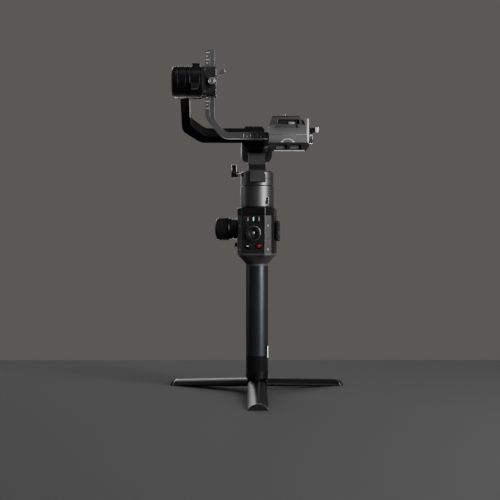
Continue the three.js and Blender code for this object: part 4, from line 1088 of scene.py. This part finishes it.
# ----------------------------------------------------------------------------------------
# Camera rail: an L of grey anodised aluminium, machined from plate, with a thin line cut down
# its upright face and a scale of white filled ticks, one every five millimetres, long and short
# in turn. The upright leg goes through the tilt clamp.
rail_grey = metal("grey_anodised", (0.115, 0.115, 0.12), 0.42, 0.8, grain=2800, worn_and_glint=0.2)
LEVEL_Z = (365, 373.7)
BEND_Z = 396
rail_top = span("camera_rail")[2][1]
rail_end = span("camera_rail")[0][1]
rail_outline = rounded([(UPRIGHT_X[0], rail_top), (UPRIGHT_X[0], 393), (-48, LEVEL_Z[0]),
                        (rail_end, LEVEL_Z[0]), (rail_end, LEVEL_Z[1]), (-44.5, LEVEL_Z[1]),
                        (UPRIGHT_X[1], 392), (UPRIGHT_X[1], rail_top)], [0, 18, 18, 0, 0, 14, 14, 0], 10)
rail = slab(rail_outline, *rail_y, "Y")
LINE_X = UPRIGHT_X[0] + 6.6
line = brick((LINE_X, LINE_X + 0.5), (BEND_Z, rail_top + 1), (rail_y[0] - 1, rail_y[0] + 0.5), "Y")
piece("rail", cut(rail, line), "camera_rail", rail_grey, edge=0.6,
      stands_for=["camera_rail"])
TICK_EVERY = 5
TICK_HALF = 0.32
TICK_INSET = 0.9
LEVEL_TICKS_FROM = -19.3
ticks = []
tick_face = (rail_y[0] - 0.05, rail_y[0] + 0.3)
for k in range(17):
    height = rail_top - 4 - TICK_EVERY * k
    length = 4.4 if k % 2 == 0 else 2.8
    if height > BEND_Z:
        ticks.append(brick((UPRIGHT_X[0] + TICK_INSET, UPRIGHT_X[0] + TICK_INSET + length),
                           (height - TICK_HALF, height + TICK_HALF), tick_face, "Y"))
for k in range(6):
    across = LEVEL_TICKS_FROM + TICK_EVERY * k
    length = 5.0 if k % 2 == 0 else 2.8
    ticks.append(brick((across - TICK_HALF, across + TICK_HALF),
                       (LEVEL_Z[0] + TICK_INSET, LEVEL_Z[0] + TICK_INSET + length), tick_face, "Y"))
piece("rail_scale", gathered(ticks), "camera_rail", white_fill, edge=0)

# ----------------------------------------------------------------------------------------
# Camera base: a machined block that slides along the rail, with a dovetail on top, a fixed jaw on
# its right and a white turning mark. A moulded cover screwed under it has two padded recesses
# at its front and a white strip along its lower edge, a painted highlight for the light caught there.
base_x, base_y, base_z = span("base_block")
tray_x, tray_y, tray_z = span("base_tray")
TOP = 380
jaw_top = base_z[1]
base_front = base_y[0]
base_body = slab(rounded([(base_x[0], base_z[0]), (base_x[1], base_z[0]), (base_x[1], jaw_top),
                          (66, jaw_top), (63.6, jaw_top - 1), (67.6, TOP), (base_x[0], TOP)],
                         [0.6, 0.6, 1.6, 1, 0.6, 0.5, 1.6]), *base_y, "Y")
tunnel = brick((rail_y[0] - SEAT, rail_y[1] + SEAT), (LEVEL_Z[0] - SEAT, LEVEL_Z[1] + SEAT),
               (base_x[0] - 1, 67), "X")
DOVETAIL_LOW = 376
dovetail = slab([(24, DOVETAIL_LOW), (58, DOVETAIL_LOW), (55, TOP + 1), (27, TOP + 1)], -60, 40, "Y")
base_lever_at = Vector(joint_named["base_lever_turn"]["pos_m"]) / MM
base_lever_centre = (0, base_lever_at.y, base_lever_at.z)
base_lever_bore = rod(2.8, 69, 90, "X", base_lever_centre, 40)
PARTING_Z = 366
parting = brick((base_x[0] - 1, base_x[1] + 1), (PARTING_Z, PARTING_Z + 0.45),
                (base_front - 1, base_front + 0.5), "Y")
corner_cut = slab([(base_x[1] - 3.2, base_front - 1), (base_x[1] + 1, base_front - 1),
                   (base_x[1] + 1, base_front + 2.2), (base_x[1] - 3.2, base_front - 0.01)], 340, 400)
base_grey = metal("grey_block_anodised", (0.13, 0.13, 0.134), 0.42, 0.75, grain=2600, worn_and_glint=0.3)
piece("base_body", cut(base_body, tunnel, dovetail, base_lever_bore, parting, corner_cut), "camera_base",
      base_grey, edge=0.3, stands_for=["base_block"])
MARK_R = 12.1
MARK_WIDTH = 0.6
MARK_ANGLE = 42
mark_at = (43, 348.4)
sweep = range(-MARK_ANGLE, MARK_ANGLE + 1, 6)
arc = [(mark_at[0] + r * math.sin(math.radians(a)), mark_at[1] + r * math.cos(math.radians(a)))
       for r, angles in ((MARK_R, sweep), (MARK_R - MARK_WIDTH, reversed(sweep))) for a in angles]
arrows = [moved([(side * 7.0, 0), (side * 9.8, -2.6), (side * 6.6, -3.0)], (mark_at[0], 358.6))
          for side in (-1, 1)]
mark_face = (base_front - 0.04, base_front + 0.2)
turn_mark = gathered([slab(outline, *mark_face, "Y") for outline in (arc, *arrows)])
piece("turn_mark", turn_mark, "camera_base", white_fill, edge=0)
POCKETS = ((26, 42), (46, 62))
low = tray_z[0]
trough = slab(rounded([(tray_x[0], tray_z[1]), (tray_x[0], low + 7), (tray_x[0] + 6.5, low),
                       (tray_x[1] - 6, low), (tray_x[1], low + 6.5), (tray_x[1], tray_z[1])],
                      [0.4, 2, 2, 2, 2, 0.4]), *tray_y, "Y")
floor_cut = slab([(tray_y[0] - 5, low - 5), (tray_y[1] + 5, low - 5), (tray_y[1] + 5, low + 7.2),
                  (tray_y[1], low + 6.5), (tray_y[0] + 4, low), (tray_y[0] - 5, low)],
                 tray_x[0] - 5, tray_x[1] + 5, "X")
pockets = [brick(across, (low + 3, low + 9), (tray_y[0] - 1, tray_y[0] + 5), "Y", 1.0)
           for across in POCKETS]
piece("base_cover", cut(trough, floor_cut, *pockets), "camera_base", handle_plastic,
      edge=0.5, stands_for=["base_tray"])
pads = [brick((across[0] + 0.5, across[1] - 0.5), (low + 3.5, low + 8.5),
              (tray_y[0] + 3.6, tray_y[0] + 4.8), "Y", 0.7) for across in POCKETS]
pad_grey = moulded("grey_pad", (0.07, 0.07, 0.072), 0.6, texture=1600, depth=0.00006)
piece("base_cover_pads", gathered(pads), "camera_base", pad_grey, edge=0.25)
# A strip of white metal along the cover's lower front edge: a painted highlight for the light that edge
# catches.
lower_edge_highlight = brick((tray_x[0] + 7, tray_x[1] - 6.5), (low + 0.1, low + 1.3), (tray_y[0] - 0.12, tray_y[0] + 1),
            "Y", 0.2)
painted_highlight_white = metal("painted_highlight_white_metal", (0.8, 0.8, 0.82), 0.35, 0.6, grain=2600)
piece("base_cover_edge_highlight", lower_edge_highlight, "camera_base", painted_highlight_white, edge=0.1)
side_screws = [socket_screw(1.7, 1.0, (x, base_front - 0.12, 358.6))
               for x in (base_x[0] + 4.5, base_x[1] - 4.5)]
piece("base_screws", gathered(side_screws), "camera_base", steel, edge=0.06)

# ----------------------------------------------------------------------------------------
# Base lever: a turned boss on the right of the block, screwed through the jaw, and a black cast
# handle whose tip is painted white as a highlight. It clamps the camera plate in the dovetail.
boss_x = (base_x[1] + SEAT, 79.6)
boss = turned([(0, 69.3), (2.4, 69.3), (2.4, boss_x[0]), (6.6, boss_x[0]), (7.5, boss_x[0] + 0.9),
               (7.5, boss_x[1] - 0.9), (6.6, boss_x[1]), (3.6, boss_x[1]), (3.6, boss_x[1] - 0.8),
               (0, boss_x[1] - 0.8)], "X", base_lever_centre, 80)
HANDLE_HALF = 4
handle_y = (base_lever_at.y - HANDLE_HALF, base_lever_at.y + HANDLE_HALF)
cast = slab(rounded([(73.4, 364), (79.6, 364), (79.6, 371.6), (86.6, 372.2), (86.6, 378.2), (73.4, 377)],
                    [0, 0, 2, 1, 1.2, 1.4]), *handle_y, "Y")
piece("base_lever_boss", boss, "base_lever", ring_metal, edge=0.15, stands_for=["base_lever"])
piece("base_lever_handle", cast, "base_lever", black_metal, edge=0.6)
# The white tip cover is a painted highlight for the light caught at the handle's end.
tip_highlight = slab(rounded([(82.6, 372.0), (87.0, 372.0), (87.0, 378.6), (82.6, 378.0)], 0.6),
                 handle_y[0] - 0.3, handle_y[1] + 0.3, "Y")
piece("base_lever_tip_highlight", tip_highlight, "base_lever", painted_highlight_white, edge=0.3)

# ----------------------------------------------------------------------------------------
# Camera plate: a dovetailed aluminium slide plate with a ribbed rubber top and a lined front
# recess with the release catch. The slotted steel screw that holds the camera turns in it.
_, plate_y, plate_z = span("camera_plate")
plate_top = plate_z[1]
plate_low = TOP + SEAT
RECESS_X, RECESS_Z = (29, 59), (381.2, 387.8)
SCREW_SHELF = 386.3
screw_at = Vector(joint_named["camera_screw_turn"]["pos_m"]) / MM
screw_centre = (screw_at.x, screw_at.y, 0)
plate = slab(rounded([(24.5, 376.3), (57.5, 376.3), (54.6, plate_low), (66.8, plate_low), (61, plate_top),
                      (21, plate_top), (17.2, plate_low), (27.4, plate_low)],
                     [0.5, 0.5, 0, 0.8, 1, 1, 0.8, 0]), *plate_y, "Y")
recess = brick(RECESS_X, RECESS_Z, (plate_y[0] - 1, plate_y[0] + 3), "Y", 1.2)
screw_pocket = turned([(0, 370), (7.3, 370), (7.3, SCREW_SHELF), (3.5, SCREW_SHELF), (3.5, 400),
                       (0, 400)], "Z", screw_centre, 64)
side_line = brick((0, 80), (plate_low + 2.6, plate_low + 3.0), (plate_y[0] - 1, plate_y[0] + 0.4), "Y")
piece("plate", cut(plate, recess, screw_pocket, side_line), "camera_plate", graphite,
      edge=0.4, stands_for=["camera_plate"])
liner = brick((29.2, 58.8), (381.4, 387.6), (plate_y[0] + 2.6, plate_y[0] + 3.1), "Y", 1.0)
piece("plate_recess_liner", liner, "camera_plate", handle_plastic, edge=0)
CATCH_PITCH = 1.5
catch = brick((44, 53), (381.3, 384.6), (plate_y[0] + 0.6, plate_y[0] + 3.2), "Y", 0.6)
catch_ridges = [brick((45.4 + CATCH_PITCH * k, 45.9 + CATCH_PITCH * k), (381.8, 384.1),
                      (plate_y[0] - 1, plate_y[0] + 1.0), "Y") for k in range(5)]
piece("plate_catch", cut(catch, gathered(catch_ridges)), "camera_plate", silver, edge=0.15)
pad_x, pad_y, pad_z = span("plate_pad")
GROOVE_PITCH = 4
pad = brick(pad_x, pad_y, pad_z, radius=2.0)
pad_grooves = [brick((pad_x[0] - 1, pad_x[1] + 1),
                     (pad_y[0] + 3 + GROOVE_PITCH * k, pad_y[0] + 3.8 + GROOVE_PITCH * k),
                     (pad_z[1] - 0.35, pad_z[1] + 1)) for k in range(10)]
pad_hole = rod(4, 380, 400, "Z", screw_centre, 64)
piece("plate_rubber", cut(pad, gathered(pad_grooves), pad_hole), "camera_plate", rubber,
      edge=0.15, stands_for=["plate_pad"])
screw_z = span("camera_screw")[2]
THREAD_FROM = 387.4
THREAD_PITCH = 1.27
thread = [(0, screw_z[0] + 0.3), (6.6, screw_z[0]), (7, screw_z[0] + 0.4), (7, 385.6), (6.6, 386),
          (3.1, 386), (3.1, 387)]
for k in range(8):
    turn_z = THREAD_FROM + THREAD_PITCH * k
    thread += [(2.55, turn_z), (3.1, turn_z + 0.63)]
thread += [(2.5, screw_z[1]), (0, screw_z[1])]
camera_screw = turned(thread, "Z", screw_centre, 64)
screw_slot = brick((screw_at.x - 0.8, screw_at.x + 0.8), (screw_at.y - 12, screw_at.y + 12), (379, 382.5))
piece("camera_thumbscrew", cut(camera_screw, screw_slot), "camera_screw", steel, edge=0,
      stands_for=["camera_screw"])

# ----------------------------------------------------------------------------------------
# Inside: copper windings and steel magnet rings in the three motors, two cells with printed
# wrap in the grip, the green control board, and the screw that holds the tripod.
copper = metal("enamelled_copper", (0.55, 0.22, 0.09), 0.32, 0.95, grain=5200)
board_green = moulded("solder_mask_green", (0.012, 0.11, 0.045), 0.35, texture=700, depth=0.00004)
cell_wrap = moulded("blue_shrink_wrap", (0.03, 0.16, 0.36), 0.35, texture=500, depth=0.00002)
inside = {"pan_coil": copper, "roll_coil": copper, "tilt_coil": copper, "pan_magnet_ring": steel,
          "roll_magnet_ring": steel, "tilt_magnet_ring": steel, "mount_screw": steel,
          "control_board": board_green, "battery_cell_lower": cell_wrap, "battery_cell_upper": cell_wrap,
          "joystick_cradle": handle_plastic}
for hidden, finish in inside.items():
    mesh = frame["nodes"][hidden].data
    mesh.materials.clear()
    mesh.materials.append(finish)
